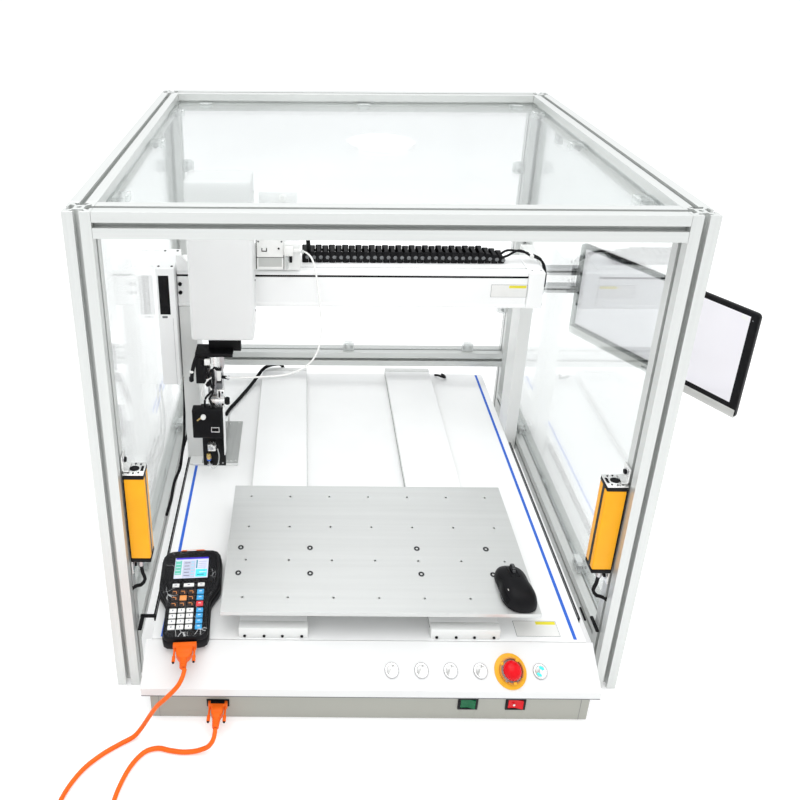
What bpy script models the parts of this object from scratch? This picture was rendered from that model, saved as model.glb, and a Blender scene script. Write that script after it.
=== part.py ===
"""Desktop gantry soldering robot inside an open-front enclosure of slotted aluminium profile.

Units are metres and +Z is up.  The layout is drawn from the enclosure: X is 0 at its centre,
Y is 0 at the front face of its front posts and Z is 0 on the table.  One empty carries every
piece and shifts that layout so that the world origin is the centre of the footprint.
"""
import math

import bmesh
import bpy
from mathutils import Matrix, Vector

COLLECTION_NAME = "gantry_soldering_robot"
GAP = 0.0003
SHEET = 0.002

# Enclosure
ENCLOSURE_WIDTH = 0.900
ENCLOSURE_DEPTH = 0.808
ENCLOSURE_HEIGHT = 0.917
PROFILE = 0.040
SLOT_HALF_WIDTH = 0.0041
LOWER_RAIL_Z = 0.070
REAR_RAIL_Z = 0.190
PANEL = 0.004
PANEL_EDGE_GAP = 0.001
ROOF_Z = 0.899
ROOF_HOLE_XY = (0.0265, 0.426)
ROOF_HOLE_RADIUS = 0.0644
HALF_WIDTH = ENCLOSURE_WIDTH / 2
INNER_X = HALF_WIDTH - PROFILE
INNER_REAR_Y = ENCLOSURE_DEPTH - PROFILE
PANEL_X = HALF_WIDTH - PROFILE / 2

# Base cabinet
BASE_HALF_WIDTH = 0.380
BASE_FRONT_Y = -0.057
BASE_REAR_Y = 0.840
BASE_FOOT_Z = 0.020
BASE_TOP_Z = 0.120
COVER_SKIRT = 0.022
FOOT_RADIUS = 0.022
LIP_Y = -0.066
LIP_LOW_Z = 0.062
NOSE_FLOOR_Z = 0.0615
LIP_TOP_Z = 0.079
SLOPE_TOP_Y = -0.004
CONTROL_HALF_WIDTH = 0.390
CONTROLS_DOWN_SLOPE = 0.0445

# Controls: places along X of the buttons on the slope and of the rockers below it
BUTTON_X = {
    "button_home": 0.037,
    "button_program": 0.088,
    "button_pause": 0.138,
    "button_reset": 0.189,
    "button_start": 0.291,
}
BUTTON_RADIUS = 0.0085
BEZEL_RADIUS = 0.0118
BEZEL_HEIGHT = 0.0018
BUTTON_PROUD = 0.0035
BUTTON_HEIGHT = 0.012
BUTTON_HOLE_DEPTH = 0.020
PRESS_CLEARANCE = 0.0004
ESTOP_X = 0.240
ESTOP_DISC_RADIUS = 0.0269
ESTOP_DISC_HEIGHT = 0.0025
ESTOP_COLLAR_RADIUS = 0.0195
ESTOP_COLLAR_HEIGHT = 0.0036
ESTOP_CAP_RADIUS = 0.0152
ESTOP_CAP_LOW = 0.0102
ESTOP_STEM_LOW = -0.012
ESTOP_HOLE_DEPTH = 0.060
ESTOP_STEM_RADIUS = 0.008
ROCKER_X = {"rocker_power": 0.169, "rocker_light": 0.251}
ROCKER_Z = 0.0392
ROCKER_HALF_LENGTH = 0.0125
ROCKER_HALF_HEIGHT = 0.0100
ROCKER_TILT = math.radians(6)
PORT_X = -0.261
PORT_Z = 0.035

# Y axis
MODULE_X = {"left": (-0.228, -0.107), "right": (0.108, 0.229)}
MODULE_TOP_Z = 0.143
MODULE_REAR_Y = 0.832
MODULE_END = 0.016
PLATE_X = (-0.259, 0.296)
PLATE_Y = (0.001, 0.316)
PLATE_TOP_Z = 0.180
PLATE_THICKNESS = 0.008

# X axis
BEAM_X = (-0.3865, 0.3570)
BEAM_Y = (0.480, 0.565)
BEAM_Z = (0.519, 0.603)
END_CAP_X = 0.392
DRIVE_X = (-0.4270, -0.3875)
DRIVE_Y = (0.460, 0.562)
DRIVE_Z = (0.333, 0.617)
CHAIN_X = (-0.122, 0.315)
CHAIN_Y = (0.5225, 0.5625)
CHAIN_HEIGHT = 0.027

# Z axis and head
HEAD_X = -0.2835
COVER_HALF_WIDTH = 0.0645
COVER_Y = (0.390, 0.468)
COVER_Z = (0.485, 0.831)
SCREW_Y = 0.4515
SCREW_RADIUS = 0.006
HEAD_AXIS = (-0.305, 0.420)
FLANGE_Z = 0.440

# Hand controller
PENDANT_CENTRE = (-0.3209, 0.0725)
PENDANT_LENGTH = 0.197
PENDANT_HEAD_WIDTH = 0.115
PENDANT_GRIP_WIDTH = 0.081
PENDANT_THICKNESS = 0.030
PENDANT_TURN = math.radians(3.7)
PENDANT_PLUG = (0.040, 0.045, 0.015)
PORT_PLUG = (0.033, 0.046, 0.016)

# Controller cord
CORD_RADIUS = 0.00375
CORD_DIAMETER = 2 * CORD_RADIUS
COIL_CENTRE = (-0.455, -0.274)
COIL_MEAN_RADIUS = 0.04125
PORT_CORD_ROUTE = [
    (-0.2610, -0.1050, 0.0350),
    (-0.2610, -0.1120, 0.0348),
    (-0.2635, -0.1185, 0.0290),
    (-0.2705, -0.1210, 0.0190),
    (-0.2797, -0.1200, 0.0110),
    (-0.2944, -0.1205, 0.0055),
    (-0.3138, -0.1210, 0.0040),
    (-0.3356, -0.1187, 0.0040),
    (-0.3565, -0.1150, 0.0040),
    (-0.3780, -0.1220, 0.0040),
    (-0.3960, -0.1450, 0.0040),
    (-0.4075, -0.1780, 0.0040),
    (-0.4120, -0.2100, 0.0040),
    (-0.4125, -0.2420, 0.0040),
]
PENDANT_CORD_ROUTE = [
    (-0.3115, -0.0722, 0.1350),
    (-0.3125, -0.0830, 0.1340),
    (-0.3180, -0.0940, 0.1280),
    (-0.3290, -0.0970, 0.1140),
    (-0.3425, -0.0963, 0.0960),
    (-0.3572, -0.0940, 0.0760),
    (-0.3711, -0.0915, 0.0500),
    (-0.3860, -0.0918, 0.0220),
    (-0.4000, -0.0980, 0.0070),
    (-0.4200, -0.1080, 0.0040),
    (-0.4470, -0.1260, 0.0040),
    (-0.4720, -0.1500, 0.0040),
    (-0.4890, -0.1800, 0.0040),
    (-0.4965, -0.2100, 0.0040),
    (-0.4975, -0.2420, 0.0040),
]

# Feed tube from the valve block to the head
FEED_TUBE_RADIUS = 0.002
FEED_TUBE_ROUTE = [
    (-0.1255, 0.5000, 0.6400),
    (-0.1120, 0.4940, 0.6390),
    (-0.0980, 0.4780, 0.6250),
    (-0.0870, 0.4580, 0.5700),
    (-0.0800, 0.4350, 0.4800),
    (-0.0980, 0.4180, 0.4250),
    (-0.1450, 0.4060, 0.3990),
    (-0.2100, 0.4000, 0.3940),
    (-0.2700, 0.4000, 0.3920),
    (-0.2880, 0.4050, 0.3900),
]

# Light curtains
CURTAIN_X = (0.374, 0.408)
CURTAIN_Y = (0.016, 0.046)
CURTAIN_Z = {"left": (0.275, 0.460), "right": (0.258, 0.443)}

# Monitor
MONITOR_CENTRE = (0.705, 0.592, 0.422)
MONITOR_WIDTH = 0.440
MONITOR_HEIGHT = 0.252
MONITOR_DEPTH = 0.028
MONITOR_ROUNDING = 0.003
MONITOR_TURN = math.radians(-57.5)
SWIVEL_XY = (0.705, 0.800)
ARM_BAR = 0.020
ARM_UPPER_Z = 0.460
ARM_LOWER_Z = 0.410

# Pointing device
MOUSE_CENTRE = (0.2615, 0.050)
MOUSE_SIZE = (0.068, 0.097, 0.036)
WHEEL_RADIUS = 0.011

# Footprint of the whole object, used to centre it on the world origin
MONITOR_END_X = (MONITOR_WIDTH / 2 - MONITOR_ROUNDING) * math.cos(MONITOR_TURN)
MONITOR_BACK_X = (MONITOR_DEPTH / 2 - MONITOR_ROUNDING) * -math.sin(MONITOR_TURN)
FOOTPRINT_X = (-HALF_WIDTH, MONITOR_CENTRE[0] + MONITOR_END_X + MONITOR_BACK_X + MONITOR_ROUNDING)
FOOTPRINT_Y = (LIP_Y, BASE_REAR_Y)

MATERIALS = {
    "white_paint": ((0.86, 0.87, 0.86), 0.0, 0.35),
    "white_aluminium": ((0.84, 0.85, 0.84), 0.0, 0.35),
    "anodised": ((0.80, 0.82, 0.81), 0.9, 0.40),
    "plate": ((0.62, 0.63, 0.63), 1.0, 0.35),
    "clear": ((0.90, 0.95, 0.94), 0.0, 0.05),
    "steel": ((0.55, 0.55, 0.56), 1.0, 0.30),
    "button_metal": ((0.80, 0.80, 0.80), 1.0, 0.25),
    "black_metal": ((0.02, 0.02, 0.02), 0.2, 0.45),
    "black_plastic": ((0.015, 0.015, 0.016), 0.0, 0.40),
    "red_plastic": ((0.70, 0.02, 0.02), 0.0, 0.30),
    "green_plastic": ((0.02, 0.25, 0.08), 0.0, 0.30),
    "yellow_paint": ((0.95, 0.55, 0.02), 0.0, 0.40),
    "orange_rubber": ((0.90, 0.22, 0.03), 0.0, 0.45),
    "tube_plastic": ((0.92, 0.92, 0.90), 0.0, 0.25),
}


def clear_scene():
    for thing in list(bpy.data.objects):
        bpy.data.objects.remove(thing, do_unlink=True)


def new_collection(name):
    collection = bpy.data.collections.new(name)
    bpy.context.scene.collection.children.link(collection)
    return collection


def make_material(name):
    colour, metallic, roughness = MATERIALS[name]
    material = bpy.data.materials.new(name)
    material.use_nodes = True
    shader = material.node_tree.nodes["Principled BSDF"]
    shader.inputs["Base Color"].default_value = (*colour, 1.0)
    shader.inputs["Metallic"].default_value = metallic
    shader.inputs["Roughness"].default_value = roughness
    return material


clear_scene()
PARTS = new_collection(COLLECTION_NAME)
CUTTERS = new_collection("cutters")
SLOTS = {name: make_material(name) for name in MATERIALS}
LAYOUT = bpy.data.objects.new("layout_origin", None)
PARTS.objects.link(LAYOUT)
LAYOUT.location = (-sum(FOOTPRINT_X) / 2, -sum(FOOTPRINT_Y) / 2, 0)


def add_object(name, data, material, location=(0, 0, 0), rotation=(0, 0, 0), cutter=False):
    """Link an object in layout coordinates; cutters are guides that the build leaves out."""
    thing = bpy.data.objects.new(name, data)
    (CUTTERS if cutter else PARTS).objects.link(thing)
    thing.parent = LAYOUT
    thing.location = location
    thing.rotation_euler = rotation
    if cutter:
        thing.hide_render = True
        thing.display_type = "WIRE"
    else:
        data.materials.clear()
        data.materials.append(SLOTS[material])
    return thing


def cube_mesh(name, size):
    mesh = bpy.data.meshes.new(name)
    shape = bmesh.new()
    bmesh.ops.create_cube(shape, size=1.0, matrix=Matrix.Diagonal((*size, 1.0)))
    shape.to_mesh(mesh)
    shape.free()
    return mesh


def box(name, low, high, material="white_aluminium", bevel=0.0, segments=2, cutter=False, rotation=(0, 0, 0)):
    """A box between two corners, with its origin at its centre and optional rounded edges."""
    size = [high[i] - low[i] for i in range(3)]
    centre = [(high[i] + low[i]) / 2 for i in range(3)]
    thing = add_object(name, cube_mesh(name, size), material, centre, rotation, cutter)
    if bevel:
        round_edges(thing, bevel, segments)
    return thing


def round_edges(thing, width, segments=2):
    modifier = thing.modifiers.new("rounded_edges", "BEVEL")
    modifier.width = width
    modifier.segments = segments
    modifier.limit_method = "ANGLE"


def cylinder(name, centre, radius, length, material="steel", direction=(0, 0, 1), sides=24, cutter=False, top=None):
    """A cylinder or cone about its centre, with its axis along a direction."""
    mesh = bpy.data.meshes.new(name)
    shape = bmesh.new()
    bmesh.ops.create_cone(
        shape,
        cap_ends=True,
        segments=sides,
        radius1=radius,
        radius2=radius if top is None else top,
        depth=length,
    )
    shape.to_mesh(mesh)
    shape.free()
    rotation = Vector((0, 0, 1)).rotation_difference(Vector(direction)).to_euler()
    thing = add_object(name, mesh, material, centre, rotation, cutter)
    shade_round(mesh)
    return thing


def shade_round(mesh):
    mesh.shade_smooth()
    mesh.set_sharp_from_angle(angle=math.radians(35))


def outline_curve(name, loops, thickness):
    """A flat outline with optional holes, extruded by half its thickness to each side."""
    curve = bpy.data.curves.new(name, "CURVE")
    curve.dimensions = "2D"
    curve.fill_mode = "BOTH"
    curve.extrude = thickness / 2
    for loop in loops:
        spline = curve.splines.new("POLY")
        spline.points.add(len(loop) - 1)
        spline.use_cyclic_u = True
        for point, (x, y) in zip(spline.points, loop):
            point.co = (x, y, 0, 1)
    return curve


def mesh_from_curve(thing):
    """Replace a curve object by its welded mesh, so that it can be cut or joined."""
    view_layer = bpy.context.view_layer
    view_layer.update()
    evaluated = thing.evaluated_get(bpy.context.evaluated_depsgraph_get())
    mesh = bpy.data.meshes.new_from_object(evaluated)
    shape = bmesh.new()
    shape.from_mesh(mesh)
    bmesh.ops.remove_doubles(shape, verts=shape.verts, dist=1e-6)
    shape.to_mesh(mesh)
    shape.free()
    name = thing.name
    matrix = thing.matrix_world.copy()
    collection = thing.users_collection[0]
    bpy.data.objects.remove(thing, do_unlink=True)
    solid = bpy.data.objects.new(name, mesh)
    collection.objects.link(solid)
    solid.parent = LAYOUT
    solid.matrix_world = matrix
    return solid


def plate_outline(name, loops, thickness, material, location, rotation=(0, 0, 0), cutter=False):
    curve = outline_curve(name, loops, thickness)
    thing = add_object(name, curve, material, location, rotation, cutter)
    solid = mesh_from_curve(thing)
    if cutter:
        solid.hide_render = True
        solid.display_type = "WIRE"
    return solid


def apply_boolean(thing, tool, operation):
    modifier = thing.modifiers.new(operation.lower() + "_" + tool.name, "BOOLEAN")
    modifier.operation = operation
    modifier.object = tool
    modifier.solver = "EXACT"


def cut(thing, *tools):
    for tool in tools:
        apply_boolean(thing, tool, "DIFFERENCE")


def join(thing, *tools):
    """Unite solids that are made in one piece; the joined shapes become guides."""
    for tool in tools:
        apply_boolean(thing, tool, "UNION")
        CUTTERS.objects.link(tool)
        PARTS.objects.unlink(tool)
        tool.hide_render = True
        tool.display_type = "WIRE"


def circle(radius, count=24, centre=(0, 0)):
    step = math.tau / count
    return [
        (centre[0] + radius * math.cos(i * step), centre[1] + radius * math.sin(i * step))
        for i in range(count)
    ]


def smooth_route(points, spacing):
    """Points at an even spacing on a Catmull-Rom curve through the route's own points."""
    knots = [Vector(p) for p in points]
    ends = [2 * knots[0] - knots[1]] + knots + [2 * knots[-1] - knots[-2]]
    dense = []
    for i in range(1, len(ends) - 2):
        a, b, c, d = ends[i - 1:i + 3]
        for step in range(20):
            t = step / 20
            dense.append(0.5 * (2 * b + (c - a) * t + (2 * a - 5 * b + 4 * c - d) * t**2
                                + (3 * b - a - 3 * c + d) * t**3))
    dense.append(knots[-1])
    lengths = [0.0]
    for first, second in zip(dense, dense[1:]):
        lengths.append(lengths[-1] + (second - first).length)
    count = max(2, round(lengths[-1] / spacing))
    route = []
    for i in range(count + 1):
        target = lengths[-1] * i / count
        index = next(k for k in range(1, len(lengths)) if lengths[k] >= target - 1e-9)
        share = (target - lengths[index - 1]) / (lengths[index] - lengths[index - 1])
        route.append(dense[index - 1].lerp(dense[index], share))
    return route


def tube(name, route, radius, material, spacing):
    curve = bpy.data.curves.new(name, "CURVE")
    curve.dimensions = "3D"
    curve.bevel_depth = radius
    curve.bevel_resolution = 2
    curve.use_fill_caps = True
    points = smooth_route(route, spacing)
    spline = curve.splines.new("POLY")
    spline.points.add(len(points) - 1)
    for point, place in zip(spline.points, points):
        point.co = (*place, 1)
    return add_object(name, curve, material)


def turned(name, profile, material, location, rotation=(0, 0, 0), steps=24):
    """A turned solid: a profile of (radius, height) points that runs down its outer side."""
    mesh = bpy.data.meshes.new(name)
    mesh.from_pydata([(r, 0, z) for r, z in profile], [(i, i + 1) for i in range(len(profile) - 1)], [])
    thing = add_object(name, mesh, material, location, rotation)
    screw = thing.modifiers.new("turned", "SCREW")
    screw.angle = math.tau
    screw.steps = steps
    screw.render_steps = steps
    screw.use_merge_vertices = True
    screw.merge_threshold = 0.00001
    screw.use_smooth_shade = True
    return thing


# Enclosure ------------------------------------------------------------------------------------

def slotted_section():
    """The outline of a square profile with one T-slot in each side."""
    half = PROFILE / 2
    side = [
        (half, half),
        (SLOT_HALF_WIDTH, half),
        (SLOT_HALF_WIDTH, half - 0.0045),
        (0.0100, half - 0.0045),
        (0.0100, half - 0.0065),
        (0.0060, half - 0.0122),
        (-0.0060, half - 0.0122),
        (-0.0100, half - 0.0065),
        (-0.0100, half - 0.0045),
        (-SLOT_HALF_WIDTH, half - 0.0045),
        (-SLOT_HALF_WIDTH, half),
    ]
    outline = []
    for quarter in range(4):
        for x, y in side:
            for _ in range(quarter):
                x, y = -y, x
            outline.append((x, y))
    return outline


def profile_bar(name, axis, centre, length):
    rotation = {"X": (0, math.pi / 2, 0), "Y": (math.pi / 2, 0, 0), "Z": (0, 0, 0)}[axis]
    loops = [slotted_section(), circle(0.0034, 10)]
    return plate_outline(name, loops, length, "anodised", centre, rotation)


def make_posts():
    for side, sign in (("left", -1), ("right", 1)):
        x = sign * PANEL_X
        for end, y in (("front", PROFILE / 2), ("rear", ENCLOSURE_DEPTH - PROFILE / 2)):
            profile_bar(f"post_{end}_{side}", "Z", (x, y, ENCLOSURE_HEIGHT / 2), ENCLOSURE_HEIGHT)


def make_rails():
    top_z = ENCLOSURE_HEIGHT - PROFILE / 2
    cross = 2 * (INNER_X - GAP)
    along = INNER_REAR_Y - PROFILE - 2 * GAP
    middle_y = (INNER_REAR_Y + PROFILE) / 2
    rear_y = ENCLOSURE_DEPTH - PROFILE / 2
    profile_bar("rail_top_front", "X", (0, PROFILE / 2, top_z), cross)
    profile_bar("rail_top_rear", "X", (0, rear_y, top_z), cross)
    profile_bar("rail_lower_rear", "X", (0, rear_y, REAR_RAIL_Z + PROFILE / 2), cross)
    for side, sign in (("left", -1), ("right", 1)):
        x = sign * PANEL_X
        profile_bar(f"rail_top_{side}", "Y", (x, middle_y, top_z), along)
        profile_bar(f"rail_lower_{side}", "Y", (x, middle_y, LOWER_RAIL_Z + PROFILE / 2), along)


def make_panels():
    edge = PANEL_EDGE_GAP
    top = ENCLOSURE_HEIGHT - PROFILE - edge
    width = 2 * (INNER_X - edge)
    depth = INNER_REAR_Y - PROFILE - 2 * edge
    middle_y = (INNER_REAR_Y + PROFILE) / 2
    hole = circle(ROOF_HOLE_RADIUS, 48, (ROOF_HOLE_XY[0], ROOF_HOLE_XY[1] - middle_y))
    sheet = [(width / 2, depth / 2), (-width / 2, depth / 2), (-width / 2, -depth / 2), (width / 2, -depth / 2)]
    plate_outline("panel_roof", [sheet, hole], PANEL, "clear", (0, middle_y, ROOF_Z + PANEL / 2))
    front = PROFILE + edge
    rear = INNER_REAR_Y - edge
    low = LOWER_RAIL_Z + PROFILE + edge
    for side, sign in (("left", -1), ("right", 1)):
        x = sign * PANEL_X
        box(f"panel_{side}", (x - PANEL / 2, front, low), (x + PANEL / 2, rear, top), "clear")
    y = ENCLOSURE_DEPTH - PROFILE / 2
    low = REAR_RAIL_Z + PROFILE + edge
    box("panel_rear", (-width / 2, y - PANEL / 2, low), (width / 2, y + PANEL / 2, top), "clear")


# Base cabinet ---------------------------------------------------------------------------------

def make_chassis():
    """An open-topped sheet-metal tray on four feet, with cut-outs for the rocker switches."""
    outer_x = BASE_HALF_WIDTH - SHEET - GAP
    top = BASE_TOP_Z - SHEET - GAP
    rear = BASE_REAR_Y - SHEET - GAP
    chassis = box("base_chassis", (-outer_x, BASE_FRONT_Y, BASE_FOOT_Z), (outer_x, rear, NOSE_FLOOR_Z), "white_paint")
    walls = box(
        "chassis_walls",
        (-outer_x, SLOPE_TOP_Y + SHEET, BASE_FOOT_Z + SHEET),
        (outer_x, rear, top),
    )
    join(chassis, walls)
    inner = outer_x - SHEET
    hollow = box(
        "chassis_hollow",
        (-inner, SLOPE_TOP_Y + 2 * SHEET, BASE_FOOT_Z + SHEET),
        (inner, rear - SHEET, top + SHEET),
        cutter=True,
    )
    nose = box(
        "chassis_nose",
        (-inner, BASE_FRONT_Y + SHEET, BASE_FOOT_Z + SHEET),
        (inner, SLOPE_TOP_Y + 3 * SHEET, NOSE_FLOOR_Z - SHEET),
        cutter=True,
    )
    cut(chassis, hollow, nose)
    for name, x in ROCKER_X.items():
        window = box(
            name + "_window",
            (x - ROCKER_HALF_LENGTH - 0.0008, BASE_FRONT_Y - SHEET, ROCKER_Z - ROCKER_HALF_HEIGHT - 0.0005),
            (x + ROCKER_HALF_LENGTH + 0.0008, BASE_FRONT_Y + 2 * SHEET, ROCKER_Z + ROCKER_HALF_HEIGHT + 0.0005),
            cutter=True,
        )
        cut(chassis, window)
    feet = []
    for x in (-0.320, 0.320):
        for y in (0.010, 0.770):
            height = BASE_FOOT_Z + SHEET / 2
            feet.append(cylinder(f"foot_{x}_{y}", (x, y, height / 2), FOOT_RADIUS, height))
    join(chassis, *feet)


def make_cover():
    """The base's top cover: a shallow sheet-metal lid with turned-down sides and rear."""
    low = BASE_TOP_Z - COVER_SKIRT
    cover = box(
        "base_cover",
        (-BASE_HALF_WIDTH, SLOPE_TOP_Y + GAP + 0.001, low),
        (BASE_HALF_WIDTH, BASE_REAR_Y, BASE_TOP_Z),
        "white_paint",
    )
    inner = BASE_HALF_WIDTH - SHEET
    hollow = box(
        "cover_hollow",
        (-inner, SLOPE_TOP_Y - SHEET, low - SHEET),
        (inner, BASE_REAR_Y - SHEET, BASE_TOP_Z - SHEET),
        cutter=True,
    )
    cut(cover, hollow)


def slope_direction():
    """Unit vectors up the control slope and out of it."""
    along = Vector((0, SLOPE_TOP_Y - LIP_Y, BASE_TOP_Z - LIP_TOP_Z)).normalized()
    outward = Vector((0, -along.z, along.y))
    return along, outward


def slope_point(x, height=0.0):
    along, outward = slope_direction()
    top = Vector((x, SLOPE_TOP_Y, BASE_TOP_Z))
    return top - along * CONTROLS_DOWN_SLOPE + outward * height


def make_control_panel():
    """A bent sheet nose with closed ends, button bezels and the stop button's collar."""
    outer = [
        (SLOPE_TOP_Y, LIP_LOW_Z),
        (SLOPE_TOP_Y, BASE_TOP_Z),
        (LIP_Y, LIP_TOP_Z),
        (LIP_Y, LIP_LOW_Z),
    ]
    inner = [
        (SLOPE_TOP_Y + SHEET, LIP_LOW_Z + SHEET),
        (SLOPE_TOP_Y + SHEET, BASE_TOP_Z - SHEET / 2),
        (SLOPE_TOP_Y - SHEET, BASE_TOP_Z - 0.0037),
        (LIP_Y + SHEET, LIP_TOP_Z - 0.0011),
        (LIP_Y + SHEET, LIP_LOW_Z + SHEET),
    ]
    turn = (math.pi / 2, 0, math.pi / 2)
    panel = plate_outline("control_panel", [outer], 2 * CONTROL_HALF_WIDTH, "white_paint", (0, 0, 0), turn)
    hollow = plate_outline(
        "control_hollow", [inner], 2 * (CONTROL_HALF_WIDTH - SHEET), "white_paint", (0, 0, 0), turn, cutter=True
    )
    cut(panel, hollow)
    outward = slope_direction()[1]
    for name, x in BUTTON_X.items():
        join(panel, cylinder(name + "_bezel", slope_point(x, 0), BEZEL_RADIUS, 2 * BEZEL_HEIGHT, direction=outward))
    stop = slope_point(ESTOP_X)
    join(panel, cylinder("estop_disc", stop, ESTOP_DISC_RADIUS, 2 * ESTOP_DISC_HEIGHT, direction=outward, sides=32))
    join(panel, cylinder("estop_collar", stop, ESTOP_COLLAR_RADIUS, 2 * ESTOP_COLLAR_HEIGHT,
                         direction=outward, sides=32))
    for name, x in BUTTON_X.items():
        cut(panel, cylinder(name + "_hole", slope_point(x), BUTTON_RADIUS + PRESS_CLEARANCE, BUTTON_HOLE_DEPTH,
                            direction=outward, cutter=True))
    cut(panel, cylinder("estop_hole", stop, ESTOP_STEM_RADIUS + PRESS_CLEARANCE, ESTOP_HOLE_DEPTH,
                        direction=outward, cutter=True))


def make_buttons():
    outward = slope_direction()[1]
    tilt = Vector((0, 0, 1)).rotation_difference(outward).to_euler()
    for name, x in BUTTON_X.items():
        cylinder(name, slope_point(x, BUTTON_PROUD - BUTTON_HEIGHT / 2), BUTTON_RADIUS, BUTTON_HEIGHT,
                 "button_metal", outward)
    profile = [
        (0, 0.0265),
        (0.0070, 0.0260),
        (0.0120, 0.0240),
        (ESTOP_CAP_RADIUS, 0.0200),
        (ESTOP_CAP_RADIUS, 0.0130),
        (0.0130, ESTOP_CAP_LOW),
        (ESTOP_STEM_RADIUS, ESTOP_CAP_LOW),
        (ESTOP_STEM_RADIUS, ESTOP_STEM_LOW),
        (0, ESTOP_STEM_LOW),
    ]
    turned("estop_mushroom", profile, "red_plastic", slope_point(ESTOP_X), tilt)


def make_rockers():
    """Each rocker is a shallow V across its pivot, resting on one of its two halves."""
    half = ROCKER_HALF_LENGTH
    outline = [
        (-half, -0.0030),
        (0, -0.0012),
        (half, -0.0030),
        (half - 0.0008, 0.0020),
        (0.0035, 0.0060),
        (-0.0035, 0.0060),
        (-half + 0.0008, 0.0020),
    ]
    slots = {"rocker_power": "green_plastic", "rocker_light": "red_plastic"}
    for name, x in ROCKER_X.items():
        plate_outline(name, [outline[::-1]], 2 * ROCKER_HALF_HEIGHT, slots[name],
                      (x, BASE_FRONT_Y - 0.0002, ROCKER_Z), (0, 0, -ROCKER_TILT))


# Y axis ---------------------------------------------------------------------------------------

def make_y_axis():
    for side, (low_x, high_x) in MODULE_X.items():
        module = box(f"y_module_{side}", (low_x + 0.003, MODULE_END / 2, BASE_TOP_Z + GAP),
                     (high_x - 0.003, MODULE_REAR_Y, MODULE_TOP_Z - 0.001))
        front = box(f"y_end_front_{side}", (low_x, 0, BASE_TOP_Z + GAP), (high_x, MODULE_END, MODULE_TOP_Z))
        rear = box(f"y_end_rear_{side}", (low_x, MODULE_REAR_Y - MODULE_END, BASE_TOP_Z + GAP),
                   (high_x, MODULE_REAR_Y, MODULE_TOP_Z))
        join(module, front, rear)
        for sign in (-1, 1):
            x = (low_x + high_x) / 2 + sign * 0.042
            cut(module, box(f"y_slot_{side}_{sign}", (x - 0.0035, MODULE_END + 0.004, MODULE_TOP_Z - 0.008),
                            (x + 0.0035, MODULE_REAR_Y - MODULE_END - 0.004, MODULE_TOP_Z + 0.001), cutter=True))
        middle = (low_x + high_x) / 2
        box(f"y_carriage_{side}", (middle - 0.050, 0.080, MODULE_TOP_Z),
            (middle + 0.050, 0.240, PLATE_TOP_Z - PLATE_THICKNESS - GAP), "steel", 0.001, 1)
    make_jig_plate()


def make_jig_plate():
    width = PLATE_X[1] - PLATE_X[0]
    depth = PLATE_Y[1] - PLATE_Y[0]
    sheet = [(width / 2, depth / 2), (-width / 2, depth / 2), (-width / 2, -depth / 2), (width / 2, -depth / 2)]
    centre = (sum(PLATE_X) / 2, sum(PLATE_Y) / 2, PLATE_TOP_Z - PLATE_THICKNESS / 2)
    holes = []
    for column in range(7):
        for row in range(4):
            x = (column - 3) * 0.0805
            y = (row - 1.5) * 0.084
            if column < 6 or row > 0:
                holes.append(circle(0.0023, 8, (x, y)))
    plate_outline("jig_plate", [sheet] + holes, PLATE_THICKNESS, "plate", centre)


# X axis ---------------------------------------------------------------------------------------

def make_columns():
    left = box("column_left", (-0.385, 0.478, BASE_TOP_Z + GAP), (-0.350, 0.558, BEAM_Z[0] - GAP))
    foot = box("column_foot", (-0.378, 0.452, BASE_TOP_Z + GAP), (-0.267, 0.611, BASE_TOP_Z + 0.005))
    join(left, foot)
    right = box("column_right", (BASE_HALF_WIDTH + 0.0005, 0.5785, 0.030), (0.4085, 0.6385, 0.600))
    bracket = box("column_bracket", (0.335, BEAM_Y[1] + GAP, 0.525), (0.4085, 0.5790, 0.600))
    join(right, bracket)


def make_beam():
    low = (BEAM_X[0], BEAM_Y[0], BEAM_Z[0])
    high = (BEAM_X[1], BEAM_Y[1], BEAM_Z[1])
    beam = box("x_beam", low, high, "white_aluminium", 0.003, 2)
    groove = box("beam_groove", (BEAM_X[0] - 0.01, BEAM_Y[0] - 0.002, BEAM_Z[1] - 0.014),
                 (BEAM_X[1] + 0.01, BEAM_Y[0] + 0.004, BEAM_Z[1] - 0.009), cutter=True)
    cut(beam, groove)
    box("x_end_cap", (BEAM_X[1] + GAP, BEAM_Y[0] - 0.001, BEAM_Z[0] - 0.001),
        (END_CAP_X, BEAM_Y[1], BEAM_Z[1] + 0.001), "white_aluminium", 0.002, 1)
    box("cable_chain", (CHAIN_X[0], CHAIN_Y[0], BEAM_Z[1] + GAP),
        (CHAIN_X[1], CHAIN_Y[1], BEAM_Z[1] + CHAIN_HEIGHT), "black_plastic", 0.002, 1)


def make_drive_housing():
    """The belt drive's tall housing at the beam's left end, open at the back, with a window."""
    low = (DRIVE_X[0], DRIVE_Y[0], DRIVE_Z[0])
    high = (DRIVE_X[1], DRIVE_Y[1], DRIVE_Z[1])
    housing = box("x_drive_housing", low, high, "white_paint", 0.001, 1)
    hollow = box("drive_hollow", (low[0] + SHEET, low[1] + SHEET, low[2] + SHEET),
                 (high[0] - SHEET, high[1] + SHEET, high[2] - SHEET), cutter=True)
    middle = (low[0] + high[0]) / 2 - 0.004
    window = box("drive_window", (middle - 0.011, low[1] - SHEET, 0.508), (middle + 0.011, low[1] + 0.01, 0.600),
                 cutter=True)
    cut(housing, hollow, window)


# Z axis and head ------------------------------------------------------------------------------

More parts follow.
